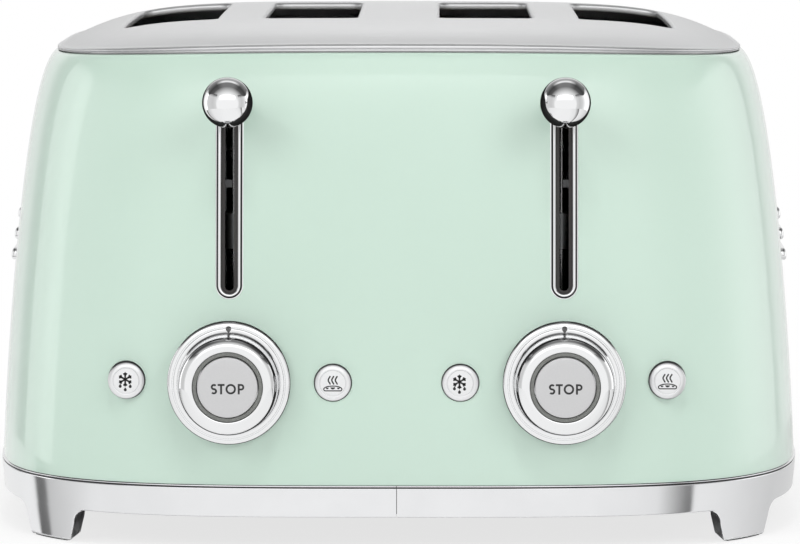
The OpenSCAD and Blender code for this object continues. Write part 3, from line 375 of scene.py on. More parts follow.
MAT = {
    "paint": mint_enamel(),
    "satin": metal("satin_steel", (0.80, 0.805, 0.81), (0.76, 0.765, 0.77), 0.41, 0.03, 700.0,
                   (0.06, 1, 1), (0.05, 0.00006), Anisotropic=0.25),
    "chrome": metal("bright_chrome", (0.88, 0.885, 0.89), (0.85, 0.855, 0.86), 0.055, 0.012, 30.0),
    "trim": metal("polished_trim", (0.86, 0.865, 0.875), (0.82, 0.825, 0.835), 0.13, 0.02, 40.0),
    "ball": metal("ball_chrome", (0.90, 0.905, 0.91), (0.87, 0.875, 0.88), 0.03, 0.008, 30.0),
    "dial": metal("dial_chrome", (0.88, 0.885, 0.89), (0.85, 0.855, 0.86), 0.07, 0.012, 30.0),
    "silver": metal("silver_cap", (0.79, 0.79, 0.80), (0.76, 0.76, 0.77), 0.42, 0.03, 1500.0,
                    bumps=(0.10, 0.00005)),
    "stop": metal("stop_cap", (0.66, 0.66, 0.665), (0.63, 0.63, 0.635), 0.46, 0.03, 1500.0,
                  bumps=(0.08, 0.00005)),
    "button": metal("button_cap", (0.86, 0.865, 0.87), (0.83, 0.835, 0.84), 0.34, 0.03, 1500.0,
                    bumps=(0.08, 0.00005)),
    "zinc": metal("zinc_sheet", (0.58, 0.59, 0.60), (0.48, 0.49, 0.50), 0.36, 0.07, 55.0, (1, 1, 1),
                  (0.04, 0.0001)),
    "wire": metal("drawn_wire", (0.72, 0.72, 0.72), (0.60, 0.60, 0.61), 0.24, 0.05, 300.0),
    "tray": metal("tray_sheet", (0.66, 0.665, 0.67), (0.58, 0.585, 0.59), 0.30, 0.05, 500.0,
                  (1, 0.05, 1), (0.04, 0.00005)),
    "ribbon": metal("heater_ribbon", (0.36, 0.33, 0.30), (0.22, 0.20, 0.19), 0.45, 0.08, 400.0),
    "copper": metal("copper_winding", (0.66, 0.30, 0.15), (0.45, 0.18, 0.08), 0.30, 0.06, 1200.0,
                    (0.1, 0.1, 1), (0.4, 0.0002)),
    "liner": plastic("dark_liner", (0.030, 0.026, 0.025), (0.022, 0.020, 0.019), 0.42, 0.05),
    "carrier": plastic("grey_moulding", (0.045, 0.045, 0.047), (0.03, 0.03, 0.032), 0.55, 0.06),
    # ground: a dark sheet inside the wrap that the chrome reflects in place of the green paint, a painted
    # dark reflection
    "ground": plastic("painted_dark_reflection", (0.055, 0.055, 0.055), (0.040, 0.040, 0.040), 0.85, 0.06),
    "rubber": plastic("pad_rubber", (0.020, 0.020, 0.020), (0.012, 0.012, 0.012), 0.78, 0.06),
    "ring": plastic("light_ring", (0.19, 0.195, 0.185), (0.16, 0.165, 0.155), 0.42, 0.05),
    "print": plastic("printed_mark", (0.018, 0.018, 0.018), (0.012, 0.012, 0.012), 0.55, 0.04),
    "mark": plastic("index_inlay", (0.10, 0.10, 0.10), (0.07, 0.07, 0.07), 0.5, 0.04),
    "base": plastic("base_coat", (0.030, 0.031, 0.033), (0.020, 0.021, 0.022), 0.60, 0.08, 1400.0,
                    (0.4, 0.0002)),
    "mica": plastic("mica_sheet", (0.44, 0.38, 0.27), (0.30, 0.25, 0.17), 0.35, 0.08, 160.0,
                    (0.3, 0.0003)),
    "board": plastic("circuit_board", (0.020, 0.12, 0.05), (0.012, 0.08, 0.035), 0.40, 0.06, 220.0),
    "black": plastic("black_moulding", (0.014, 0.014, 0.014), (0.009, 0.009, 0.009), 0.50, 0.06),
}

# Carried-over CAD nodes take their finish here
LOOKS = {
    "base_plate": "base", "rubber_feet": "rubber", "mica_cards": "mica", "heater_ribbons": "ribbon",
    "power_board": "board", "cord_gland": "black", "screws": "wire", "chassis_front": "zinc",
    "chassis_rear": "zinc", "centre_shield": "zinc", "side_trims": "chrome", "body_shell": "paint",
    "top_cover": "satin",
}
PAIR_LOOKS = {
    "base_trim": "trim", "lever_bezel": "chrome", "slot_liner": "liner", "lever_arm": "zinc",
    "lever_knob": "chrome", "carriage": "zinc", "bread_lifters": "wire", "armature": "zinc",
    "guide_rod": "wire", "lift_spring": "wire", "electromagnet": "copper", "escutcheon": "satin",
    "dial": "chrome", "light_ring": "ring", "stop_button": "silver", "defrost_button": "silver",
    "reheat_button": "silver", "control_carrier": "carrier", "control_board": "board",
    "side_shield": "zinc", "crumb_tray": "tray",
}
for word, _ in SIDES:
    LOOKS.update({f"{start}_{word}": look for start, look in PAIR_LOOKS.items()})
    LOOKS.update({f"guide_racks_{word}_{where}": "wire" for where in ("outer", "inner")})
for node, obj in frame["nodes"].items():
    obj.data.materials.clear()
    obj.data.materials.append(MAT[LOOKS[node]])


# ---------------------------------------------------------------- tools for cut surfaces
def cutter(points, faces):
    """A closed mesh with its faces turned outwards."""
    mesh = bpy.data.meshes.new("cutter")
    mesh.from_pydata([tuple(v) for v in placed(points)], [], faces)
    bm = bmesh.new()
    bm.from_mesh(mesh)
    bmesh.ops.recalc_face_normals(bm, faces=bm.faces)
    bm.to_mesh(mesh)
    bm.free()
    return mesh


def prism_y(line, y0, y1):
    """A closed outline in X and Z pushed through from y0 to y1."""
    n = len(line)
    pts = [(p[0], y0, p[1]) for p in line] + [(p[0], y1, p[1]) for p in line]
    faces = [(i, (i + 1) % n, n + (i + 1) % n, n + i) for i in range(n)]
    return cutter(pts, faces + [tuple(range(n)), tuple(range(2 * n - 1, n - 1, -1))])


def circle(x, z, r, n=96):
    turns = [2 * math.pi * k / n for k in range(n)]
    return [(x + r * math.cos(a), z + r * math.sin(a)) for a in turns]


def cut(obj, meshes):
    """Takes all the cutters out of an object at once."""
    bm = bmesh.new()
    for m in meshes:
        bm.from_mesh(m)
    joined = bpy.data.meshes.new("cutters")
    bm.to_mesh(joined)
    bm.free()
    tool = bpy.data.objects.new("cutters", joined)
    bpy.context.scene.collection.objects.link(tool)
    mod = obj.modifiers.new("cut", "BOOLEAN")
    mod.operation = "DIFFERENCE"
    mod.solver = "EXACT"
    mod.object = tool
    graph = bpy.context.evaluated_depsgraph_get()
    mesh = bpy.data.meshes.new_from_object(obj.evaluated_get(graph))
    obj.modifiers.remove(mod)
    obj.data = mesh
    bpy.data.objects.remove(tool)
    for m in meshes:
        bpy.data.meshes.remove(m)


def exact_normals(obj, field, tol=0.04, limit=0.8):
    """Gives every corner that lies on the field's surface the field's own normal."""
    mesh = obj.data
    co = np.empty(len(mesh.vertices) * 3)
    mesh.vertices.foreach_get("co", co)
    co = co.reshape(-1, 3) / MM
    co[:, 1] -= CY
    on = np.abs(field(co)) * FIELD_SIZE < tol
    exact = field_normals(field, co)
    count = len(mesh.loops)
    vert = np.empty(count, np.int32)
    mesh.loops.foreach_get("vertex_index", vert)
    corner = np.empty(count * 3)
    mesh.corner_normals.foreach_get("vector", corner)
    corner = corner.reshape(-1, 3)
    total = np.empty(len(mesh.polygons), np.int32)
    mesh.polygons.foreach_get("loop_total", total)
    flat = np.empty(len(mesh.polygons) * 3)
    mesh.polygons.foreach_get("normal", flat)
    flat = np.repeat(flat.reshape(-1, 3), total, axis=0)
    use = on[vert] & (np.einsum("ij,ij->i", flat, exact[vert]) > limit)
    corner[use] = exact[vert][use]
    mesh.normals_split_custom_set([tuple(v) for v in corner])


# ---------------------------------------------------------------- places taken from the CAD
def middle(node):
    """Middle of a node in body millimetres."""
    lo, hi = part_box(node)
    m = (lo + hi) / 2 / MM
    return m.x, m.y - CY, m.z


def span(node):
    """Lowest and highest corner of a node in body millimetres."""
    lo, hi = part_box(node)
    return (np.array(lo) / MM - [0, CY, 0], np.array(hi) / MM - [0, CY, 0])


def radius(node):
    """Radius of a round node that faces the front."""
    lo, hi = span(node)
    return (hi[0] - lo[0]) / 2


DIAL_X, _, DIAL_Z = middle("dial_right")
LEVER_X = middle("lever_knob_right")[0]
bz_lo, bz_hi = span("lever_bezel_right")
BEZEL_W = bz_hi[0] - bz_lo[0]
BEZEL_LOW, BEZEL_TOP = bz_lo[2], bz_hi[2]
SLOT_W = 6.6
BEZEL_SIDE = (BEZEL_W - SLOT_W) / 2
ES_R = radius("escutcheon_right")
BUTTON_R = radius("reheat_button_right")
BUTTON_DX = middle("reheat_button_right")[0] - DIAL_X
tr_lo, tr_hi = span("crumb_tray_right")
TRAY_LAP = 2.0
TRAY_X = (tr_lo[0] + tr_hi[0]) / 2
TRAY_HALF = (tr_hi[0] - tr_lo[0]) / 2 - TRAY_LAP
TRAY_Z = (tr_lo[2] + TRAY_LAP, tr_hi[2] - TRAY_LAP)
TRAY_MID = (TRAY_Z[0] + TRAY_Z[1]) / 2
TRAY_BACK = tr_hi[1]
FACE_OUT = 1.8
gland_lo, gland_hi = span("cord_gland")
GLAND_R, GLAND_Z = 6.0, (gland_lo[2] + gland_hi[2]) / 2


# ---------------------------------------------------------------- painted wrap
def wrap_holes():
    """Cutters for the slots, dials, buttons, trays and gland."""
    front, rear = (-WRAP_B - 20, -100), (110, WRAP_B + 20)
    slot_gap, dial_gap, button_gap, tray_gap, gland_gap = 0.9, 0.16, 0.22, 0.4, 0.2
    low, high = BEZEL_LOW + BEZEL_SIDE - slot_gap, BEZEL_TOP - BEZEL_SIDE + slot_gap
    z0, z1 = TRAY_Z[0] - tray_gap, TRAY_Z[1] + tray_gap
    tools = []
    for _, side in SIDES:
        hole = slot_line(side * LEVER_X, SLOT_W / 2 + slot_gap, low, high, 12)
        tools.append(prism_y(hole[:, :2], *front))
        tools.append(prism_y(circle(side * DIAL_X, DIAL_Z, ES_R + dial_gap), *front))
        for k in (-1, 1):
            x = side * DIAL_X + k * BUTTON_DX
            tools.append(prism_y(circle(x, DIAL_Z, BUTTON_R + button_gap), *front))
        x0, x1 = side * TRAY_X - TRAY_HALF - tray_gap, side * TRAY_X + TRAY_HALF + tray_gap
        tools.append(prism_y([(x0, z0), (x1, z0), (x1, z1), (x0, z1)], *rear))
    tools.append(prism_y(circle(0, GLAND_Z, GLAND_R + gland_gap, 48), *rear))
    return tools


def build_shell(name, n, rows, outer, inner, material, hides=()):
    """One closed sheet that follows the wrap between two offsets from its painted face, with its holes."""
    c, s = plan(n)
    levels = 1 - (1 - np.linspace(0, 1, rows)) ** 1.8
    rings = [wrap_ring(t, c, s, outer) for t in levels] + [wrap_ring(t, c, s, inner) for t in levels[::-1]]
    obj = tube(name, rings, material, "housing", hides=hides)
    cut(obj, wrap_holes())
    dress(obj.data, material, 35)
    return obj


def build_wrap():
    """The painted steel, and a dark sheet on its inner face that the chrome reflects in place of the paint:
    a painted dark reflection.
    """
    dark_sheet_gap, dark_sheet_depth = 0.02, 0.30
    obj = build_shell("painted_wrap", 560, 70, 0.0, -WALL, MAT["paint"], ("body_shell",))
    exact_normals(obj, wrap_field)
    # Painted dark reflection: a dark sheet just inside the wrap, seen in the chrome where it would see the
    # paint
    outer, inner = -WALL - dark_sheet_gap, -WALL - dark_sheet_depth
    build_shell("wrap_ground_coat", 280, 36, outer, inner, MAT["ground"])


# ---------------------------------------------------------------- crowned cover
SLOT_W2, SLOT_L2, SLOT_CORNER = 37.4 / 2, 165 / 2, 5.0
SLOT_XS = [-91.5, -35.2, 35.2, 91.5]
SLOT_Y = -7.5
RIM_R = 1.5


def slot_distance(x, y):
    """Distance outside the nearest bread slot's outline."""
    best = np.full(np.shape(x), 1e9)
    for sx in SLOT_XS:
        qx = np.abs(x - sx) - (SLOT_W2 - SLOT_CORNER)
        qy = np.abs(y - SLOT_Y) - (SLOT_L2 - SLOT_CORNER)
        outside = np.hypot(np.maximum(qx, 0), np.maximum(qy, 0))
        best = np.minimum(best, outside + np.minimum(np.maximum(qx, qy), 0) - SLOT_CORNER)
    return best


def slot_outline(sx, corner=10, long_parts=90, short_parts=18):
    """Points and outward normals round a bread slot."""
    out = []
    r = SLOT_CORNER
    w, l = SLOT_W2 - r, SLOT_L2 - r
    turns = [(w, l, 0), (-w, l, 90), (-w, -l, 180), (w, -l, 270)]
    for k, (cx, cy, first) in enumerate(turns):
        for j in range(corner + 1):
            a = math.radians(first + 90 * j / corner)
            c, s = math.cos(a), math.sin(a)
            out.append((sx + cx + r * c, SLOT_Y + cy + r * s, c, s))
        nx, ny, _ = turns[(k + 1) % 4]
        parts = short_parts if k % 2 == 0 else long_parts
        for j in range(1, parts):
            f = j / parts
            out.append((sx + cx + (nx - cx) * f + r * c, SLOT_Y + cy + (ny - cy) * f + r * s, c, s))
    return np.array(out)


def dome_field(p):
    """Zero on the crowned cover, as a share of its size."""
    return (p[:, 2] - dome_z(p[:, 0], p[:, 1])) / FIELD_SIZE


# The rolled lip's section: distance out from its edge, and share of its height
LIP = [(-1.27, 0.985), (-1.12, 0.93), (-1.0, 0.875), (-0.85, 0.86), (-0.70, 0.885), (-0.50, 0.915),
       (-0.25, 0.925), (0.0, 0.91), (0.25, 0.865), (0.43, 0.80), (0.54, 0.72), (0.58, 0.63), (0.54, 0.54),
       (0.43, 0.46), (0.27, 0.395), (0.12, 0.35), (0.04, 0.315), (0.06, 0.28), (0.18, 0.275),
       (0.36, 0.265), (0.50, 0.22), (0.55, 0.155), (0.50, 0.09), (0.36, 0.045), (0.15, 0.03),
       (-0.4, 0.02), (-2.1, 0.02), (-2.1, -1.5), (-3.3, -1.5), (-3.3, -0.2), (-2.9, 0.3)]


def cover_points(c, s, outlines):
    """Points of the cover seen from above, the edges along its outline and round the slots, and the first
    point of each of these loops."""
    a, b = EDGE_A - CREASE, EDGE_B - CREASE
    clear, pitch = 6.5, 6.0
    loops = [[(a * u, b * v) for u, v in zip(c, s)]]
    loops += [[(p[0] + RIM_R * p[2], p[1] + RIM_R * p[3]) for p in line] for line in outlines]
    pts, edges, starts = [], [], []
    for line in loops:
        first, count = len(pts), len(line)
        starts.append(first)
        edges += [(first + k, first + (k + 1) % count) for k in range(count)]
        pts += line
    for out in (2.6, 4.4):
        for line in outlines:
            pts += [(p[0] + out * p[2], p[1] + out * p[3]) for p in line[::2]]
    for r in (0.994, 0.986, 0.976, 0.964, 0.95, 0.934, 0.915, 0.893, 0.868, 0.84, 0.808, 0.772):
        step = 1 if r > 0.95 else 2
        ring = np.stack([a * r * c[::step], b * r * s[::step]], -1)
        pts += map(tuple, ring[slot_distance(ring[:, 0], ring[:, 1]) > clear])
    gx, gy = np.meshgrid(np.arange(-a, a, pitch), np.arange(-b, b, pitch))
    grid = np.stack([gx.ravel() + 0.013, gy.ravel() + 0.007], -1)
    r = (np.abs(grid[:, 0] / a) ** POWER + np.abs(grid[:, 1] / b) ** POWER) ** (1 / POWER)
    pts += map(tuple, grid[(r < 0.75) & (slot_distance(grid[:, 0], grid[:, 1]) > clear)])
    return pts, edges, starts


def triangulated(pts, edges):
    """The points as they are kept, the triangles outside the slots, and where each point went."""
    flat, _, tris, source = geometry.delaunay_2d_cdt([Vector(p) for p in pts], edges, [], 0, 1e-5)[:4]
    flat = np.array([tuple(v) for v in flat])
    where = {old: k for k, olds in enumerate(source) for old in olds}
    mid = np.array([flat[list(f)].mean(0) for f in tris])
    keep = slot_distance(mid[:, 0], mid[:, 1]) > RIM_R * 0.98
    return flat, [f for f, k in zip(tris, keep) if k], where


def build_cover():
    """The crowned steel cover: top and underside, a rolled rim in each slot, and the outer lip."""
    n, sheet = 440, 1.2
    c, s = plan(n)
    outlines = [slot_outline(sx) for sx in SLOT_XS]
    pts, edges, starts = cover_points(c, s, outlines)
    flat, tris, where = triangulated(pts, edges)
    m = len(flat)
    top = dome_z(flat[:, 0], flat[:, 1])
    verts = [np.column_stack([flat, top]), np.column_stack([flat, top - sheet])]
    faces = [tuple(f) for f in tris] + [tuple(m + i for i in f[::-1]) for f in tris]

    def strip(rings, upper):
        """Leads an edge of the top through rings of points to the same edge of the underside."""
        k, total = len(upper), sum(len(v) for v in verts)
        ids = [upper] + [range(total + j * k, total + (j + 1) * k) for j in range(len(rings))]
        ids.append([m + i for i in upper])
        verts.extend(rings)
        for p, q in zip(ids[:-1], ids[1:]):
            faces.extend((p[i], p[(i + 1) % k], q[(i + 1) % k], q[i]) for i in range(k))

    turn = np.radians([12, 25, 38, 52, 65, 78, 90])
    rim = [(RIM_R * (1 - math.sin(w)), RIM_R * (1 - math.cos(w))) for w in turn]
    rim += [(0, 2.6), (0.06, 2.95), (0.3, 3.17), (0.62, 3.19), (0.92, 3.0), (1.0, 2.7), (1.05, 2.2),
            (1.2, 1.6)]
    for line, first in zip(outlines, starts[1:]):
        rings = []
        for off, down in rim:
            x, y = line[:, 0] + off * line[:, 2], line[:, 1] + off * line[:, 3]
            rings.append(np.column_stack([x, y, dome_z(x, y) - down]))
        strip(rings, [where[first + k] for k in range(len(line))])
    low, high = lip_low(c), lip_high(c)
    rings = [np.column_stack([(EDGE_A + o) * c, (EDGE_B + o) * s, low + h * (high - low)]) for o, h in LIP]
    strip(rings, [where[k] for k in range(n)])
    obj = make("crowned_cover", np.vstack(verts), faces, MAT["satin"], "housing", 50,
               ("top_cover",))
    exact_normals(obj, dome_field, tol=0.01, limit=0.9)


# ---------------------------------------------------------------- base trim with feet
TRIM_Z = SEAM_Z - 12.5
PLATE_Z = TRIM_Z + 1.1
PAD_Z = (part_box("rubber_feet")[1].z) / MM
BEAD_R, BEAD_IN = 0.30, 0.40
BEAD_Z = SEAM_Z - 0.1 - BEAD_R
FACE_TOP = BEAD_Z - BEAD_R - 0.5
FACE_LEAN, FACE_H, FACE_ROUND = 0.95, 10.96, 1.07
# Feet: the first four are angles round the plan in degrees
FOOT_MID, FOOT_HALF, FOOT_TAPER, FOOT_FLARE = 41.5, 7.5, 1.4, 4.2
FOOT_FILLET, FOOT_TURN, FOOT_ROUND, FOOT_LOW = 5.6, 2.5, 3.0, 0.35


def face_inset(z):
    """The trim's outer face leans in towards the bottom."""
    return FACE_LEAN * (np.clip(FACE_TOP - z, 0, None) / FACE_H) ** FACE_ROUND


def trim_rows():
    """Inset and height round the section of the trim, from the ledge up inside and down outside."""
    top, low, seam, edge = FACE_TOP, TRIM_Z, SEAM_Z, 0.5
    rows = [(6.6, low + 0.3), (6.6, PLATE_Z), (2.8, PLATE_Z), (2.6, PLATE_Z + 3), (2.6, seam - 0.4),
            (2.5, seam - 0.15), (2.2, seam - 0.1), (1.0, seam - 0.1)]
    for w in np.radians(range(80, -61, -20)):
        rows.append((BEAD_IN - BEAD_R * math.cos(w), BEAD_Z + BEAD_R * math.sin(w)))
    rows += [(0.62, top + 0.47), (0.95, top + 0.42), (1.0, top + 0.3), (0.9, top + 0.2), (0.5, top + 0.12),
             (0.22, top + 0.06), (0.08, top - 0.04), (0.02, top - 0.2)]
    rows += [(face_inset(z), z) for z in np.linspace(top - 0.45, low + edge, 9)]
    base = face_inset(low + edge)
    for w in np.radians((20, 40, 60, 80)):
        rows.append((base + edge * (1 - math.cos(w)), low + edge - edge * math.sin(w)))
    return rows + [(base + 0.8, low), (6.2, low), (6.5, low + 0.1)]


def corner_arc(a, corner, b, steps=7):
    """Points that turn softly from a past the corner to b."""
    t = np.linspace(0, 1, steps)[:, None]
    return (1 - t) ** 2 * a + 2 * t * (1 - t) * corner + t**2 * b


def plan_point(inset, degrees):
    """Points on the trim's plan outline, moved in by an inset."""
    w = np.radians(degrees)
    x, y = BODY_W / 2 - inset, BODY_D / 2 - inset
    return np.stack([x * np.cos(w) ** (2 / POWER), y * np.sin(w) ** (2 / POWER)], -1)


def foot_section(z, shrink=0.0):
    """Outline of a foot at a height: the trim's own curve outside, two plain walls inside."""
    up = min(1.0, max(0.0, (z - PAD_Z) / (TRIM_Z - FOOT_FILLET - PAD_Z)))
    q = min(1.0, max(0.0, (z - TRIM_Z + FOOT_FILLET) / FOOT_FILLET))
    half = FOOT_HALF + FOOT_TAPER * up + FOOT_FLARE * (1 - math.sqrt(1 - q * q))
    stretch = min(5.0, math.sqrt(1 + (1.6 * q) ** 2 / max(1e-3, 1 - q * q)))
    inset = face_inset(z) - 0.012
    side, front = plan_point(inset, np.array([FOOT_MID - half, FOOT_MID + half]))
    soft_side, soft_front = 0.6 * stretch / 2.0, 1.1 * stretch / 2.0
    arc = plan_point(inset, np.linspace(FOOT_MID - half + soft_side, FOOT_MID + half - soft_front, 30))
    inner = np.array([front[0] - FOOT_TURN, side[1] - FOOT_TURN])
    to_inner, to_side = inner - front, side - inner
    to_inner, to_side = to_inner / np.linalg.norm(to_inner), to_side / np.linalg.norm(to_side)
    ring = [arc, corner_arc(arc[-1], front, front + to_inner * 1.8)[1:]]
    ring.append(corner_arc(inner - to_inner * FOOT_ROUND, inner, inner + to_side * FOOT_ROUND, 10))
    ring.append(corner_arc(side - to_side * 0.6, side, arc[0])[:-1])
    ring = np.vstack(ring)
    if shrink:
        ahead, behind = np.roll(ring, -1, 0), np.roll(ring, 1, 0)
        run = ahead - behind
        run /= np.linalg.norm(run, axis=1, keepdims=True)
        ring = ring + shrink * np.stack([-run[:, 1], run[:, 0]], -1)
    return np.column_stack([ring, np.full(len(ring), z)])


def foot_levels():
    """Height and inset of each ring of a foot, from its rounded sole up into the trim."""
    r = 0.8
    turn = np.radians(range(90, -1, -15))
    low = [(FOOT_LOW + r * (1 - math.sin(w)), r * (1 - math.cos(w))) for w in turn]
    mid = [(z, 0.0) for z in np.linspace(FOOT_LOW + r, TRIM_Z - FOOT_FILLET, 6)[1:]]
    high = [(TRIM_Z - FOOT_FILLET * (1 - math.sin(w)), 0.0) for w in np.radians(np.arange(8, 89, 8))]
    return low + mid + high + [(TRIM_Z, 0.0), (PLATE_Z - 0.1, 0.0)]


def build_trim(word, side):
    """One half of the trim with its two moulded feet."""
    c, s = plan(520, -90, 90, closed=False)
    c = np.where(c < 1e-4, 0, c)
    joint = 0.12
    rows = []
    for inset, z in trim_rows():
        x, y = (BODY_W / 2 - inset) * c, (BODY_D / 2 - inset) * s
        rows.append(np.stack([side * np.maximum(x, joint), y, z + 0 * c], -1))
    m, k = len(rows), len(c)
    faces = quads(m, k, False, True)
    faces += [tuple(i * k for i in range(m)), tuple(i * k + k - 1 for i in range(m))[::-1]]
    total = m * k
    for back in (-1, 1):
        rings = [foot_section(z, shrink) * [side, back, 1] for z, shrink in foot_levels()]
        n = len(rings[0])
        faces += [tuple(total + i for i in f) for f in capped(len(rings), n)]
        rows += rings
        total += len(rings) * n
    make(f"polished_trim_{word}", np.vstack(rows), faces, MAT["trim"], "housing", 40,
         (f"base_trim_{word}",))


def build_groove_shade():
    """A dark rubber strip in the groove between the bead and the face of the trim, which darkens the groove
    as its shadow would: painted shade.
    """
    c, s = plan(600)
    rows = [(1.2, 0.46), (0.34, 0.46), (0.22, 0.38), (0.22, 0.2), (0.32, 0.12), (1.2, 0.14)]
    rings = []
    for inset, up in rows:
        x, y = (BODY_W / 2 - inset) * c, (BODY_D / 2 - inset) * s
        rings.append(np.stack([x, y, FACE_TOP + up + 0 * c], -1))
    tube("groove_shade_strip", rings, MAT["rubber"], "housing")


def build_pads():
    """Rubber pads let into the undersides of the feet."""
    whole = foot_section(PAD_Z)
    centre = whole.mean(0)
    hides = ("rubber_feet",)
    for word, side in SIDES:
        for place, back in (("rear", 1), ("front", -1)):
            rings = []
            for z, share in ((0.0, 0.80), (0.15, 0.83), (FOOT_LOW, 0.83), (FOOT_LOW + 0.6, 0.80)):
                ring = centre + (whole - centre) * share
                ring[:, 2] = z
                rings.append(ring * [side, back, 1])
            loft(f"foot_pad_{word}_{place}", rings, MAT["rubber"], "housing", hides=hides)
            hides = ()


# ---------------------------------------------------------------- levers
def build_bezel(word, side):
    """The bright frame round a lever slot: distances out from the slot's edge and heights over the wrap."""
    line = slot_line(side * LEVER_X, SLOT_W / 2, BEZEL_LOW + BEZEL_SIDE, BEZEL_TOP - BEZEL_SIDE)
    profile = [(0, -2.8), (-0.15, 0.5), (-0.1, 0.82), (0.02, 1.05), (0.2, 1.24), (0.42, 1.37),
               (0.65, 1.42), (0.84, 1.39), (0.97, 1.3), (1.07, 1.15), (1.25, 0.86), (1.45, 0.53),
               (1.65, 0.2), (1.74, 0.08), (1.86, 0.04), (2.05, 0.0), (2.2, -0.08), (2.28, -0.3),
               (2.28, -1.0), (1.2, -2.8)]
    rings = []
    for out, up in profile:
        x, z = line[:, 0] + out * line[:, 2], line[:, 1] + out * line[:, 3]
        rings.append(np.stack([x, -(wall_y(x, z) + up), z], -1))
    tube(f"chrome_bezel_{word}", rings, MAT["chrome"], "housing", 40, (f"lever_bezel_{word}",))


def build_knob(word, side):
    """A ball on a short collar."""
    node = f"lever_knob_{word}"
    lo, hi = span(node)
    ball, z = (hi[2] - lo[2]) / 2, (hi[2] + lo[2]) / 2
    depth = -lo[1] - ball
    collar = ((2.55, 0.5), (2.55, 0), (3.9, 0), (4.25, 0.1), (4.4, 0.4), (4.4, 1.9), (4.3, 2.15),
              (4.1, 2.25))
    profile = [(r, -hi[1] + up) for r, up in collar]
    for w in np.linspace(math.asin(collar[-1][0] / ball), math.pi, 72):
        profile.append((ball * math.sin(w), depth - ball * math.cos(w)))
    x = side * LEVER_X
    lathe(f"ball_knob_{word}", profile, x, z, 0.0, MAT["ball"], f"lever_{word}", "chrome", 144, 30,
          (node,))


# ---------------------------------------------------------------- dials
DIAL_R = radius("dial_right")
DIAL_H = 16.3
DIAL_SEAT = -span("dial_right")[0][1] - DIAL_H
RING_R = radius("light_ring_right")
STOP_R = radius("stop_button_right")
STOP_H = -span("stop_button_right")[0][1] - DIAL_SEAT


def skirt_profile():
    """Radius and height of the dial's skirt, from its rim to the neck under the brow."""
    steps = [(0.5, 0.02), (0.12, 0.15), (0, 0.45), (0, 1.05), (0.1, 1.35), (0.35, 1.65), (0.65, 1.85),
             (1.2, 2.08), (1.72, 2.2), (1.82, 2.14), (1.9, 1.97), (2.1, 1.93), (2.3, 1.98), (2.4, 2.2),
             (2.5, 2.36), (2.7, 2.46), (3.4, 2.6), (3.66, 2.55), (3.8, 2.52), (3.94, 2.62), (4.2, 2.95),
             (4.5, 3.35), (4.8, 3.9), (5.0, 4.6), (5.12, 5.6), (5.15, 7.0), (5.15, 11.2)]
    return [(DIAL_R - inset, up) for inset, up in steps]


def dial_profile():
    """The skirt, the round brow over it and the well for the ring and the button."""
    brow_in = RING_R + 1.1
    brow_w, brow_h = DIAL_R - 4.85 - brow_in, 4.0
    brow = bow(brow_in, DIAL_H - brow_h, brow_w, brow_h, -25, 90, 24)
    inner, well = RING_R + 0.05, STOP_R + 0.2
    lip = [(inner + 0.65, 0), (inner + 0.3, 0.04), (inner + 0.1, 0.16), (inner, 0.4), (inner, 4.3),
           (well, 4.3), (well, 6.8), (6, 6.8), (6, DIAL_H - 0.02)]
    return skirt_profile() + brow + [(r, DIAL_H - down) for r, down in lip]


def surface_height(profile, r):
    """Height of the dial's skirt at a radius."""
    p = np.array(profile)[::-1]
    return np.interp(r, p[:, 0], p[:, 1])


def index_outline():
    """Half width of the index mark at distances from the skirt's edge inwards."""
    r, wide = 1.05, 1.02
    turn = np.radians(np.linspace(4, 140, 15))
    bulb = [(1.5 + r - r * math.cos(w), wide * math.sin(w)) for w in turn]
    return bulb + [(3.75, 0.42), (3.95, 0.3), (4.2, 0.28), (4.35, 0.55), (4.75, 0.6)]


def build_index(word, side):
    """The index mark, a thin inlay that follows the skirt."""
    outline, k = index_outline(), 9
    m = len(outline)
    profile = skirt_profile()[:21]
    proud, depth = 0.035, 0.12
    rows = []
    for down, half in outline:
        across = np.linspace(-half, half, k)
        up = DIAL_R - down
        height = surface_height(profile, np.hypot(across, up)) + proud
        rows.append(np.stack([side * DIAL_X + across, -(DIAL_SEAT + height), DIAL_Z + up + 0 * across],
                             -1))
    top = np.vstack(rows)
    faces = quads(m, k, False) + [tuple(m * k + i for i in f[::-1]) for f in quads(m, k, False)]
    rim = list(range(k)) + [i * k + k - 1 for i in range(1, m)]
    rim += [(m - 1) * k + i for i in range(k - 2, -1, -1)] + [i * k for i in range(m - 2, 0, -1)]
    faces += [(a, b, m * k + b, m * k + a) for a, b in zip(rim, rim[1:] + rim[:1])]
    pts = np.vstack([top, top + [0, depth, 0]])
    make(f"index_mark_{word}", pts, faces, MAT["mark"], f"dial_turn_{word}", 30)


def build_dial(word, side):
    """The dial with its index mark, the light ring in it and the stop button in the middle."""
    place = (side * DIAL_X, DIAL_Z, DIAL_SEAT)
    turn, node = f"dial_turn_{word}", f"light_ring_{word}"
    lathe(f"dial_cap_{word}", dial_profile(), *place, MAT["dial"], turn, "chrome", 220, 34,
          (f"dial_{word}",), True)
    build_index(word, side)
    a, b, top = STOP_R + 0.22, RING_R, DIAL_H - 0.55
    ring = [(a, 3.7), (a, 0.5), (a + 0.08, 0.2), (a + 0.25, 0.04), (a + 0.5, 0), (b - 0.5, 0),
            (b - 0.25, 0.04), (b - 0.08, 0.2), (b, 0.5), (b, 3.7)]
    ring = [(r, top - down) for r, down in ring]
    lathe(f"glow_ring_{word}", ring, *place, MAT["ring"], RIDES[node], "grey_plastic", 160, 30, (node,),
          True)
    disc = [(STOP_R - 6, 3.5), (0.1, 3.5), (0, 3.3), (0, 0.55), (0.06, 0.36), (0.2, 0.22), (0.5, 0.12),
            (1.6, 0.04), (4, 0), (STOP_R, 0)]
    disc = [(STOP_R - inset, STOP_H - down) for inset, down in disc]
    body, node = f"stop_{word}", f"stop_button_{word}"
    lathe(f"stop_cap_{word}", disc, *place, MAT["stop"], body, "silver_plastic", 160, 30, (node,))


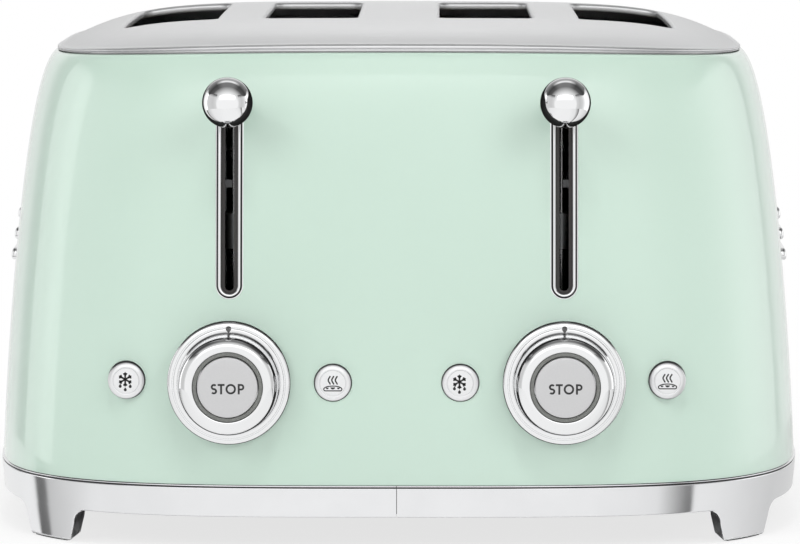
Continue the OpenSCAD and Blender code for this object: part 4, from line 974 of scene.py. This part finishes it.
# ---------------------------------------------------------------- printed marks
def stroke(points, width, caps=True):
    """Outline of a line of even width, with round ends or square ones."""
    p = np.array(points, float)
    run = np.gradient(p, axis=0)
    run /= np.linalg.norm(run, axis=1, keepdims=True)
    side = np.stack([-run[:, 1], run[:, 0]], -1) * width / 2
    out = list(p + side)
    if caps:
        out += cap(p[-1], side[-1])
    out += list((p - side)[::-1])
    if caps:
        out += cap(p[0], -side[0])
    return [tuple(v) for v in out]


def cap(end, first):
    """The round end of a stroke."""
    out = []
    for k in range(1, 7):
        c, s = math.cos(-math.pi * k / 7), math.sin(-math.pi * k / 7)
        out.append(end + np.array([first[0] * c - first[1] * s, first[0] * s + first[1] * c]))
    return out


def print_mark(name, outlines, x, z, face, material, body):
    """Flat printed shapes a little proud of a face."""
    proud, depth = 0.03, 0.15
    pts, faces = [], []
    for line in outlines:
        n, first = len(line), len(pts)
        for y in (-(face + proud), -(face - depth)):
            pts += [(x + p[0], y, z + p[1]) for p in line]
        faces.append(tuple(range(first, first + n)))
        faces.append(tuple(range(first + 2 * n - 1, first + n - 1, -1)))
        for i in range(n):
            a, b = first + i, first + (i + 1) % n
            faces.append((a, b, n + b, n + a))
    make(name, pts, faces, material, body, 20)


def stop_word():
    """The letters S T O P as strokes of width w between the lines at -h and h."""
    w, h = 0.76, 1.62
    s_top = bow(0.02, h / 2, 0.84, h / 2, 38, 270, 20)
    s_low = bow(-0.02, -h / 2, 0.86, h / 2, 90, -142, 20)
    letters = [stroke([(p[0] - 5.1, p[1]) for p in s_top[:-1] + s_low], w, False)]
    t_bar = (-3.66, -1.0, h + w / 2, h - w / 2)
    t_stem = (-2.71, -1.95, h - w / 2, -h - w / 2)
    letters += [upright(*t_bar), upright(*t_stem)]
    letters += [stroke(bow(1.35, 0, h, h, first, first + 180, 26), w, False) for first in (0, 180)]
    letters.append(upright(4.04, 4.8, h + w / 2, -h - w / 2))
    r = 0.88
    bowl = [(4.8, h), (5.1, h)] + bow(5.3, h - r, r, r, 85, -85, 16) + [(5.1, h - 2 * r), (4.8, h - 2 * r)]
    letters.append(stroke(bowl, w * 0.96, False))
    return letters


def upright(x0, x1, top, low):
    return [(x0, top), (x0, low), (x1, low), (x1, top)]


def snow_mark():
    """A snow crystal over three drops."""
    out = []
    reach, arm = 2.9, 0.68
    half = [(0, 0), (0.36, 0.30), (0.52, 0.78), (0.86, 0.84), (1.16, 0.48), (1.5, 0.34)]
    for k in range(6):
        a = math.radians(90 + 60 * k)
        ux, uz = math.cos(a), math.sin(a)

        def at(along, across):
            return (along * ux - across * uz - 0.35, along * uz + across * ux + 0.55)
        out.append(stroke([at(0, 0), at(1.0, 0), at(reach - 0.8, 0)], arm))
        out.append([at(reach - u, v) for u, v in half] + [at(reach - u, -v) for u, v in half[:0:-1]])
    for x, z in ((-2.3, -2.15), (-0.35, -3.5), (1.6, -2.25)):
        drop = bow(x, z, 0.58, 0.58, -215, 35, 16)
        out.append(drop + [(x + 0.13, z + 0.80), (x, z + 1.0), (x - 0.13, z + 0.80)])
    return out


def bread_mark():
    """Three curls of heat over a slice with three scores."""
    out = []
    for k in (-1, 0, 1):
        rise = np.linspace(0, 1, 22)
        curl = [(k * 1.36 + 0.38 * math.sin(1.0 - 5.0 * v), -0.3 + 2.9 * v) for v in rise]
        out.append(stroke(curl, 0.56))
    out.append(stroke(bow(0, -2.3, 3.5, 1.2, 0, 180, 30), 0.42))
    low = bow(-2.9, -2.3, 0.6, 0.66, 180, 270, 7) + bow(2.9, -2.3, 0.6, 0.66, -90, 0, 7)
    out.append(stroke(low, 0.42))
    for x, wide, deep in ((-2.15, 0.55, 0.62), (0, 0.90, 0.78), (2.15, 0.55, 0.62)):
        out.append(bow(x, -1.62 - 0.1 * abs(x) / 2, wide, deep, 180, 360, 14))
    return out


def build_button(kind, word, marks):
    """A dished button with a groove round its printed mark."""
    node, body = f"{kind}_button_{word}", f"{kind}_{word}"
    x, _, z = middle(node)
    face = -span(node)[0][1]
    steps = [(BUTTON_R - 5.5, 7), (0, 7), (0, 1.35), (0.05, 1.12), (0.18, 0.9), (0.45, 0.7), (1.0, 0.42),
             (1.55, 0.2), (1.78, 0.16), (1.92, 0.22), (2.02, 0.36), (2.12, 0.36), (2.2, 0.2),
             (2.32, 0.09), (2.55, 0.04), (BUTTON_R, 0)]
    profile = [(BUTTON_R - inset, -down) for inset, down in steps]
    lathe(f"{kind}_cap_{word}", profile, x, z, face, MAT["button"], body, "silver_plastic", 128, 30,
          (node,))
    print_mark(f"{kind}_mark_{word}", marks, x, z, face, MAT["print"], body)


# ---------------------------------------------------------------- side ornaments
def build_side_bar(name, side, z, half, height):
    """A pillow-shaped bar that follows the bulging side."""
    section = ((0, -0.6), (0, 0.55), (0.06, 0.95), (0.22, 1.3), (0.5, 1.6), (0.9, 1.82), (1.4, 1.95),
               (1.95, 2.0), (2.46, 2.0))
    centre = half - height / 2
    rings = []
    for inset, up in section:
        r = height / 2 - inset
        line = []
        for end, first in ((1, 90.0), (-1, 270.0)):
            line += bow(end * centre, z, r, r, first, first - 180.0, 17)
            line += [(end * centre * (1 - k / 20), z - end * r) for k in range(1, 40)]
        y, h = np.array(line).T
        rings.append(np.stack([side * (wall_x(y, h) + up), y, h], -1))
    loft(name, rings, MAT["chrome"], "housing", 35)


def build_side_bars():
    """Three bars a side, each shorter than the one below it."""
    lo, hi = span("side_trims")
    height, pitch, step = 5.0, 7.5, 12.0
    for word, side in SIDES:
        for k in range(3):
            z, half = lo[2] + height / 2 + k * pitch, hi[1] - k * step
            build_side_bar(f"side_bar_{word}_{k + 1}", side, z, half, height)
    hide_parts("side_trims")


# ---------------------------------------------------------------- crumb trays
def tray_outline(inset):
    """Plan of a tray pan: its rear edge follows the bulging back, its front corners are round."""
    half, front, r = TRAY_HALF - inset, tr_lo[1] + inset, 5.0 - inset
    gap = 1.6
    rear = [(x, wall_y(TRAY_X + x, TRAY_MID) - gap - inset) for x in np.linspace(half, -half, 30)]
    left = bow(-half + r, front + r, r, r, 180, 270, 9)
    return rear + left + bow(half - r, front + r, r, r, 270, 360, 9)


def build_tray(word, side):
    z0, z1 = TRAY_Z
    rows = [(1.2, z0), (0.4, z0 + 0.2), (0, z0 + 0.9), (0, z1 - 0.5), (0.12, z1 - 0.15), (0.45, z1),
            (0.8, z1 - 0.15), (0.95, z1 - 0.5), (0.95, z0 + 2.4), (1.3, z0 + 1.4), (2.2, z0 + 1.0)]
    rings = [[(side * (TRAY_X + x), y, z) for x, y in tray_outline(inset)] for inset, z in rows]
    node, body = f"crumb_tray_{word}", f"tray_{word}"
    loft(f"tray_pan_{word}", rings, MAT["tray"], body, 35, (node,))
    loft(f"tray_face_{word}", tray_face_rings(side), MAT["satin"], body, 40)
    loft(f"tray_ledge_{word}", tray_ledge_rings(side), MAT["satin"], body, 40)


def tray_face_rings(side):
    """The curved plate that closes the opening, rounded along its edges."""
    half, z0, z1 = TRAY_HALF + TRAY_LAP, TRAY_Z[0] - TRAY_LAP, TRAY_Z[1] + TRAY_LAP
    low, high = 0.3, FACE_OUT
    section = [(z0, low), (z0, high - 0.45), (z0 + 0.13, high - 0.13), (z0 + 0.45, high)]
    section += [(z, high) for z in np.linspace(z0 + 1, z1 - 1, 7)]
    section += [(z1 - 0.45, high), (z1 - 0.13, high - 0.13), (z1, high - 0.45), (z1, low)]
    z, up = np.array(section).T
    ends = ((0.0, 0.45), (0.13, 0.13), (0.45, 0.0))
    columns = [(-half + inset, cut_back) for inset, cut_back in ends]
    columns += [(x, 0.0) for x in np.linspace(-half + 1, half - 1, 50)]
    columns += [(half - inset, cut_back) for inset, cut_back in ends[::-1]]
    rings = []
    for x, cut_back in columns:
        y = np.array([wall_y(TRAY_X + x, v) for v in z]) + np.minimum(up, high - cut_back)
        rings.append(np.stack([side * (TRAY_X + x) + 0 * z, y, z], -1))
    return rings


def tray_ledge_rings(side):
    """The ledge for the fingers across the middle of the face."""
    section = ((1.3, 1.5), (0.6, 1.4), (0.15, 1.0), (0.0, 0.5))
    rings = []
    for inset, z in [(i, -v) for i, v in section] + list(section[::-1]):
        half, back, r = 24.0 - inset, TRAY_BACK - inset, 4.5
        foot = FACE_OUT - 0.6
        line = [(x, wall_y(TRAY_X + x, TRAY_MID + z) + foot) for x in np.linspace(half, -half, 24)]
        line += bow(-half + r, back - r, r, r, 180, 90, 9) + bow(half - r, back - r, r, r, 90, 0, 9)
        rings.append([(side * (TRAY_X + x), y, TRAY_MID + z) for x, y in line])
    return rings


# ---------------------------------------------------------------- everything is made
RIDES = {n: b for b, ns in frame["record"]["behaviour"]["bodies"].items() for n in ns}

build_wrap()
build_cover()
STOP_MARK, SNOW_MARK, BREAD_MARK = stop_word(), snow_mark(), bread_mark()
STOP_FACE = DIAL_SEAT + STOP_H
for word, side in SIDES:
    build_trim(word, side)
    build_bezel(word, side)
    build_knob(word, side)
    build_dial(word, side)
    x, z = side * DIAL_X, DIAL_Z - 0.55
    print_mark(f"stop_word_{word}", STOP_MARK, x, z, STOP_FACE, MAT["print"], f"stop_{word}")
    build_button("defrost", word, SNOW_MARK)
    build_button("reheat", word, BREAD_MARK)
    build_tray(word, side)
build_side_bars()
build_groove_shade()
build_pads()


# ---------------------------------------------------------------- camera, floor and light
def area(name, where, aim, size, power, only=()):
    """A soft lamp. One that lights only some pieces also shows in their reflections."""
    lamp = bpy.data.lights.new(name, "AREA")
    lamp.shape = "RECTANGLE"
    lamp.size, lamp.size_y = size
    lamp.energy = power
    obj = bpy.data.objects.new(name, lamp)
    scene.collection.objects.link(obj)
    obj.location = where
    obj.rotation_euler = (Vector(aim) - Vector(where)).to_track_quat("-Z", "Y").to_euler()
    obj.visible_glossy = bool(only)
    if only:
        lit = bpy.data.collections.new(name)
        for piece in only:
            lit.objects.link(piece)
        obj.light_linking.receiver_collection = lit


def math_node(tree, operation, a, b):
    node = add(tree, "ShaderNodeMath")
    node.operation = operation
    tree.links.new(a, node.inputs[0])
    tree.links.new(b, node.inputs[1])
    return node.outputs[0]


def mix_shader(tree, share, first, second):
    mix = add(tree, "ShaderNodeMixShader")
    for source, socket in zip((share, first, second), mix.inputs):
        tree.links.new(source, socket)
    return mix.outputs[0]


def ray_mix(tree, others, seen):
    """Shows one shader to camera, glossy and transmission rays and the other to the rest."""
    path = add(tree, "ShaderNodeLightPath")
    gloss = math_node(tree, "MAXIMUM", path.outputs["Is Glossy Ray"], path.outputs["Is Transmission Ray"])
    total = math_node(tree, "MAXIMUM", path.outputs["Is Camera Ray"], gloss)
    return mix_shader(tree, total, others, seen)


def stage_mesh(name, points, faces, material):
    """A piece of the studio, not of the toaster."""
    obj = mesh_object(name, points, faces)
    obj.data.materials.append(material)
    obj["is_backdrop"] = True
    return obj


def build_floor():
    """Pale near the toaster, where its shadow falls, and as white as the background farther out."""
    m = new_material("pale_floor", (0.90, 0.90, 0.90), 0.0, 0.7)
    tree = m.node_tree
    place = add(tree, "ShaderNodeTexCoord")
    mapping = add(tree, "ShaderNodeMapping", Scale=(1.0, 0.9, 1.0))
    length = add(tree, "ShaderNodeVectorMath")
    length.operation = "LENGTH"
    tree.links.new(place.outputs["Object"], mapping.inputs["Vector"])
    tree.links.new(mapping.outputs["Vector"], length.inputs[0])
    shares = []
    for start, end, least in ((0.14, 0.38, 0.76), (0.20, 0.30, 0.0)):
        fade = add(tree, "ShaderNodeMapRange", From_Min=start, From_Max=end, To_Min=least)
        fade.interpolation_type = "SMOOTHSTEP"
        tree.links.new(length.outputs["Value"], fade.inputs["Value"])
        shares.append(fade.outputs[0])
    path = add(tree, "ShaderNodeLightPath")
    white = add(tree, "ShaderNodeEmission")
    clear = add(tree, "ShaderNodeBsdfTransparent")
    shown = tree.nodes["Principled BSDF"].outputs[0]
    for ray, share, seen in (("Is Camera Ray", shares[0], white), ("Is Glossy Ray", shares[1], clear)):
        part = math_node(tree, "MULTIPLY", path.outputs[ray], share)
        shown = mix_shader(tree, part, shown, seen.outputs[0])
    tree.links.new(shown, tree.nodes["Material Output"].inputs["Surface"])
    reach, z = 6, -0.0003
    corners = [(-reach, -reach, z), (reach, -reach, z), (reach, reach, z), (-reach, reach, z)]
    stage_mesh("floor", corners, [(0, 1, 2, 3)], m)


def glow_material():
    """Light of its own, as strong as the mesh's glow attribute says."""
    material = bpy.data.materials.new("studio_glow")
    material.use_nodes = True
    tree = material.node_tree
    tree.nodes.remove(tree.nodes["Principled BSDF"])
    light = add(tree, "ShaderNodeEmission")
    level = add(tree, "ShaderNodeAttribute")
    level.attribute_name = "glow"
    tree.links.new(level.outputs["Fac"], light.inputs["Strength"])
    tree.links.new(light.outputs[0], tree.nodes["Material Output"].inputs["Surface"])
    return material


def glow_sheet(name, rows, glow, closed=False):
    """A surface that only reflections see: the flags and soft boxes round a studio table."""
    rows, glow = np.array(rows, float), np.array(glow, float)
    material = bpy.data.materials.get("studio_glow") or glow_material()
    obj = stage_mesh(name, rows.reshape(-1, 3), quads(rows.shape[0], rows.shape[1], closed), material)
    level = obj.data.attributes.new("glow", "FLOAT", "POINT")
    level.data.foreach_set("value", np.broadcast_to(glow, rows.shape[:2]).ravel().astype(np.float32))
    for kind in ("camera", "diffuse", "shadow", "transmission", "volume_scatter"):
        setattr(obj, f"visible_{kind}", False)


def build_tent():
    """Dark cloth round the line of sight, open at the front, pale at the back, with a soft box overhead."""
    angle = np.radians(np.linspace(0, 360, 97))[:-1]
    overhead = np.interp(np.abs(np.degrees(angle) - 90), (14, 30), (1, 0))
    reach = 1.25
    steps = ((-1.3, 1.0, 0), (-0.8, 0.62, 0), (-0.35, 0.10, 0.1), (0.05, 0.06, 0.15), (0.16, 0.08, 0.17),
             (0.22, 0.10, 0.75), (0.50, 0.18, 0.75), (0.56, 0.2, 0.17), (1.35, 0.40, 0.1), (1.9, 0.84, 0),
             (5.0, 0.84, 0))
    rings = [(reach, y) for y, _, _ in steps] + [(0.01, 5.0)]
    rows = [np.stack([r * np.cos(angle), y + 0 * angle, r * np.sin(angle)], -1) for r, y in rings]
    glow = [level + more * overhead for _, level, more in steps]
    glow_sheet("dark_tent", rows, glow + glow[-1:], True)


def arc_panel(name, degrees, glow):
    """An upright soft box round the toaster; degrees are counted from the camera's side, right positive."""
    reach = 1.1
    w = np.radians(degrees)
    rows = [np.stack([reach * np.sin(w), -reach * np.cos(w), z + 0 * w], -1) for z in (-0.7, 0.55, 0.80)]
    glow_sheet(name, rows, np.outer((1.0, 1.0, 0.0), glow))


def build_panels():
    left = (-125.5, -125, -119, -112, -108, -105, -95, -93.5, -60, -46)
    arc_panel("left_panel", left, (0.05, 0.90, 0.98, 1.02, 1.2, 1.5, 1.6, 0.72, 0.64, 0.75))
    right = (46, 60, 74, 84, 94, 104, 114, 124, 133, 133.5)
    arc_panel("right_panel", right, (0.75, 0.62, 0.72, 0.95, 1.3, 1.35, 1.2, 1.0, 0.85, 0.05))
    x = np.array((-0.9, -0.6, 0.6, 0.9))
    share = np.array((0, 1, 1, 0))
    rows = [np.stack([x, -1.15 + 0 * x, z + 0 * x], -1) for z in (0.38, 0.56, 0.74, 0.95)]
    glow_sheet("front_panel", rows, 1 + np.outer((0.0, 0.25, 0.8, 1.3), share))


def build_floor_card():
    """A glowing card in front of the feet that only reflections see: its bands of light are painted
    reflections for the polished trim.
    Its bands run along the directions in which the trim reflects, so that they stand upright in the
    polished face."""
    c, s = plan(400, 190, 350, False)
    x, y = BODY_W / 2 * c, BODY_D / 2 * s
    nx, ny = np.sign(c) * np.abs(c) ** (POWER - 1) / BODY_W, np.sign(s) * np.abs(s) ** (POWER - 1) / BODY_D
    size = np.hypot(nx, ny)
    nx, ny = nx / size, ny / size
    rx, ry = -2 * ny * nx, 1 - 2 * ny * ny
    at = (-163, -145, -144.6, -140.6, -139.6, -121, -72, 0, 77, 103, 109, 116.5, 117.3, 134, 149, 163)
    level = (0.86, 0.97, 0.13, 0.20, 0.62, 0.90, 0.97, 0.97, 0.96, 0.86, 0.55, 0.14, 0.94, 0.84, 0.68,
             0.70)
    rows = []
    for reach in (-2.0, 40.0, 120.0, 400.0):
        row = placed(np.stack([x + reach * rx, y + reach * ry, 0 * x], -1))
        row[:, 2] = 0.0002
        rows.append(row)
    glow_sheet("floor_card", rows, [np.interp(x, at, level)] * len(rows))


def build_world():
    """White to the camera and in reflections, and a dimmer white as light."""
    world = bpy.data.worlds.new("studio")
    world.use_nodes = True
    scene.world = world
    tree = world.node_tree
    ambient = fill(tree.nodes["Background"], Color=(1, 1, 1, 1), Strength=0.5)
    white = add(tree, "ShaderNodeBackground", Color=(1, 1, 1, 1), Strength=1.0)
    shown = ray_mix(tree, ambient.outputs[0], white.outputs[0])
    tree.links.new(shown, tree.nodes["World Output"].inputs["Surface"])


scene = bpy.context.scene
scene.view_settings.view_transform = "Standard"

cam = bpy.data.cameras.new("camera")
cam.sensor_width = 36
cam.lens = 246.42
cam.clip_end = 50
camera = bpy.data.objects.new("camera", cam)
scene.collection.objects.link(camera)
camera.location = (0.0155, (-2282 + CY) * MM, 0.2894)
camera.rotation_euler = (math.radians(90 - 4.93), 0, math.radians(0.387))
scene.camera = camera

build_floor()
build_tent()
build_panels()
build_floor_card()
build_world()

# The chrome would look green if it reflected the paint. The paint is hidden from reflections, and the dark
# sheet inside it shows in its place as a painted dark reflection.
bpy.data.objects["painted_wrap"].visible_glossy = False

area("overhead", (0, 0.15, 1.1), (0, 0, 0.1), (0.5, 0.35), 3)
area("front_top", (0, -1.0, 1.5), (0, -0.1, 0.12), (0.35, 0.25), 4)
area("over_cover", (0, 1.3, 1.2), (0, 0, 0.2), (1.6, 1.2), 2.7, (bpy.data.objects["crowned_cover"],))
area("left_fill", (-1.5, 0.1, 0.7), (0, 0, 0.1), (1.0, 1.0), 5)
area("right_fill", (1.5, 0.1, 0.7), (0, 0, 0.1), (1.0, 1.0), 5)
area("front_left", (-1.5, -2.2, 1.5), (0, 0, 0.1), (1.2, 1.2), 18.5)
area("front_right", (1.5, -2.2, 1.5), (0, 0, 0.1), (1.2, 1.2), 18.5)

size_lines = [list(cad_low), list(cad_high)]
view_low, view_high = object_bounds()
size_lines += [list(view_low), list(view_high)]
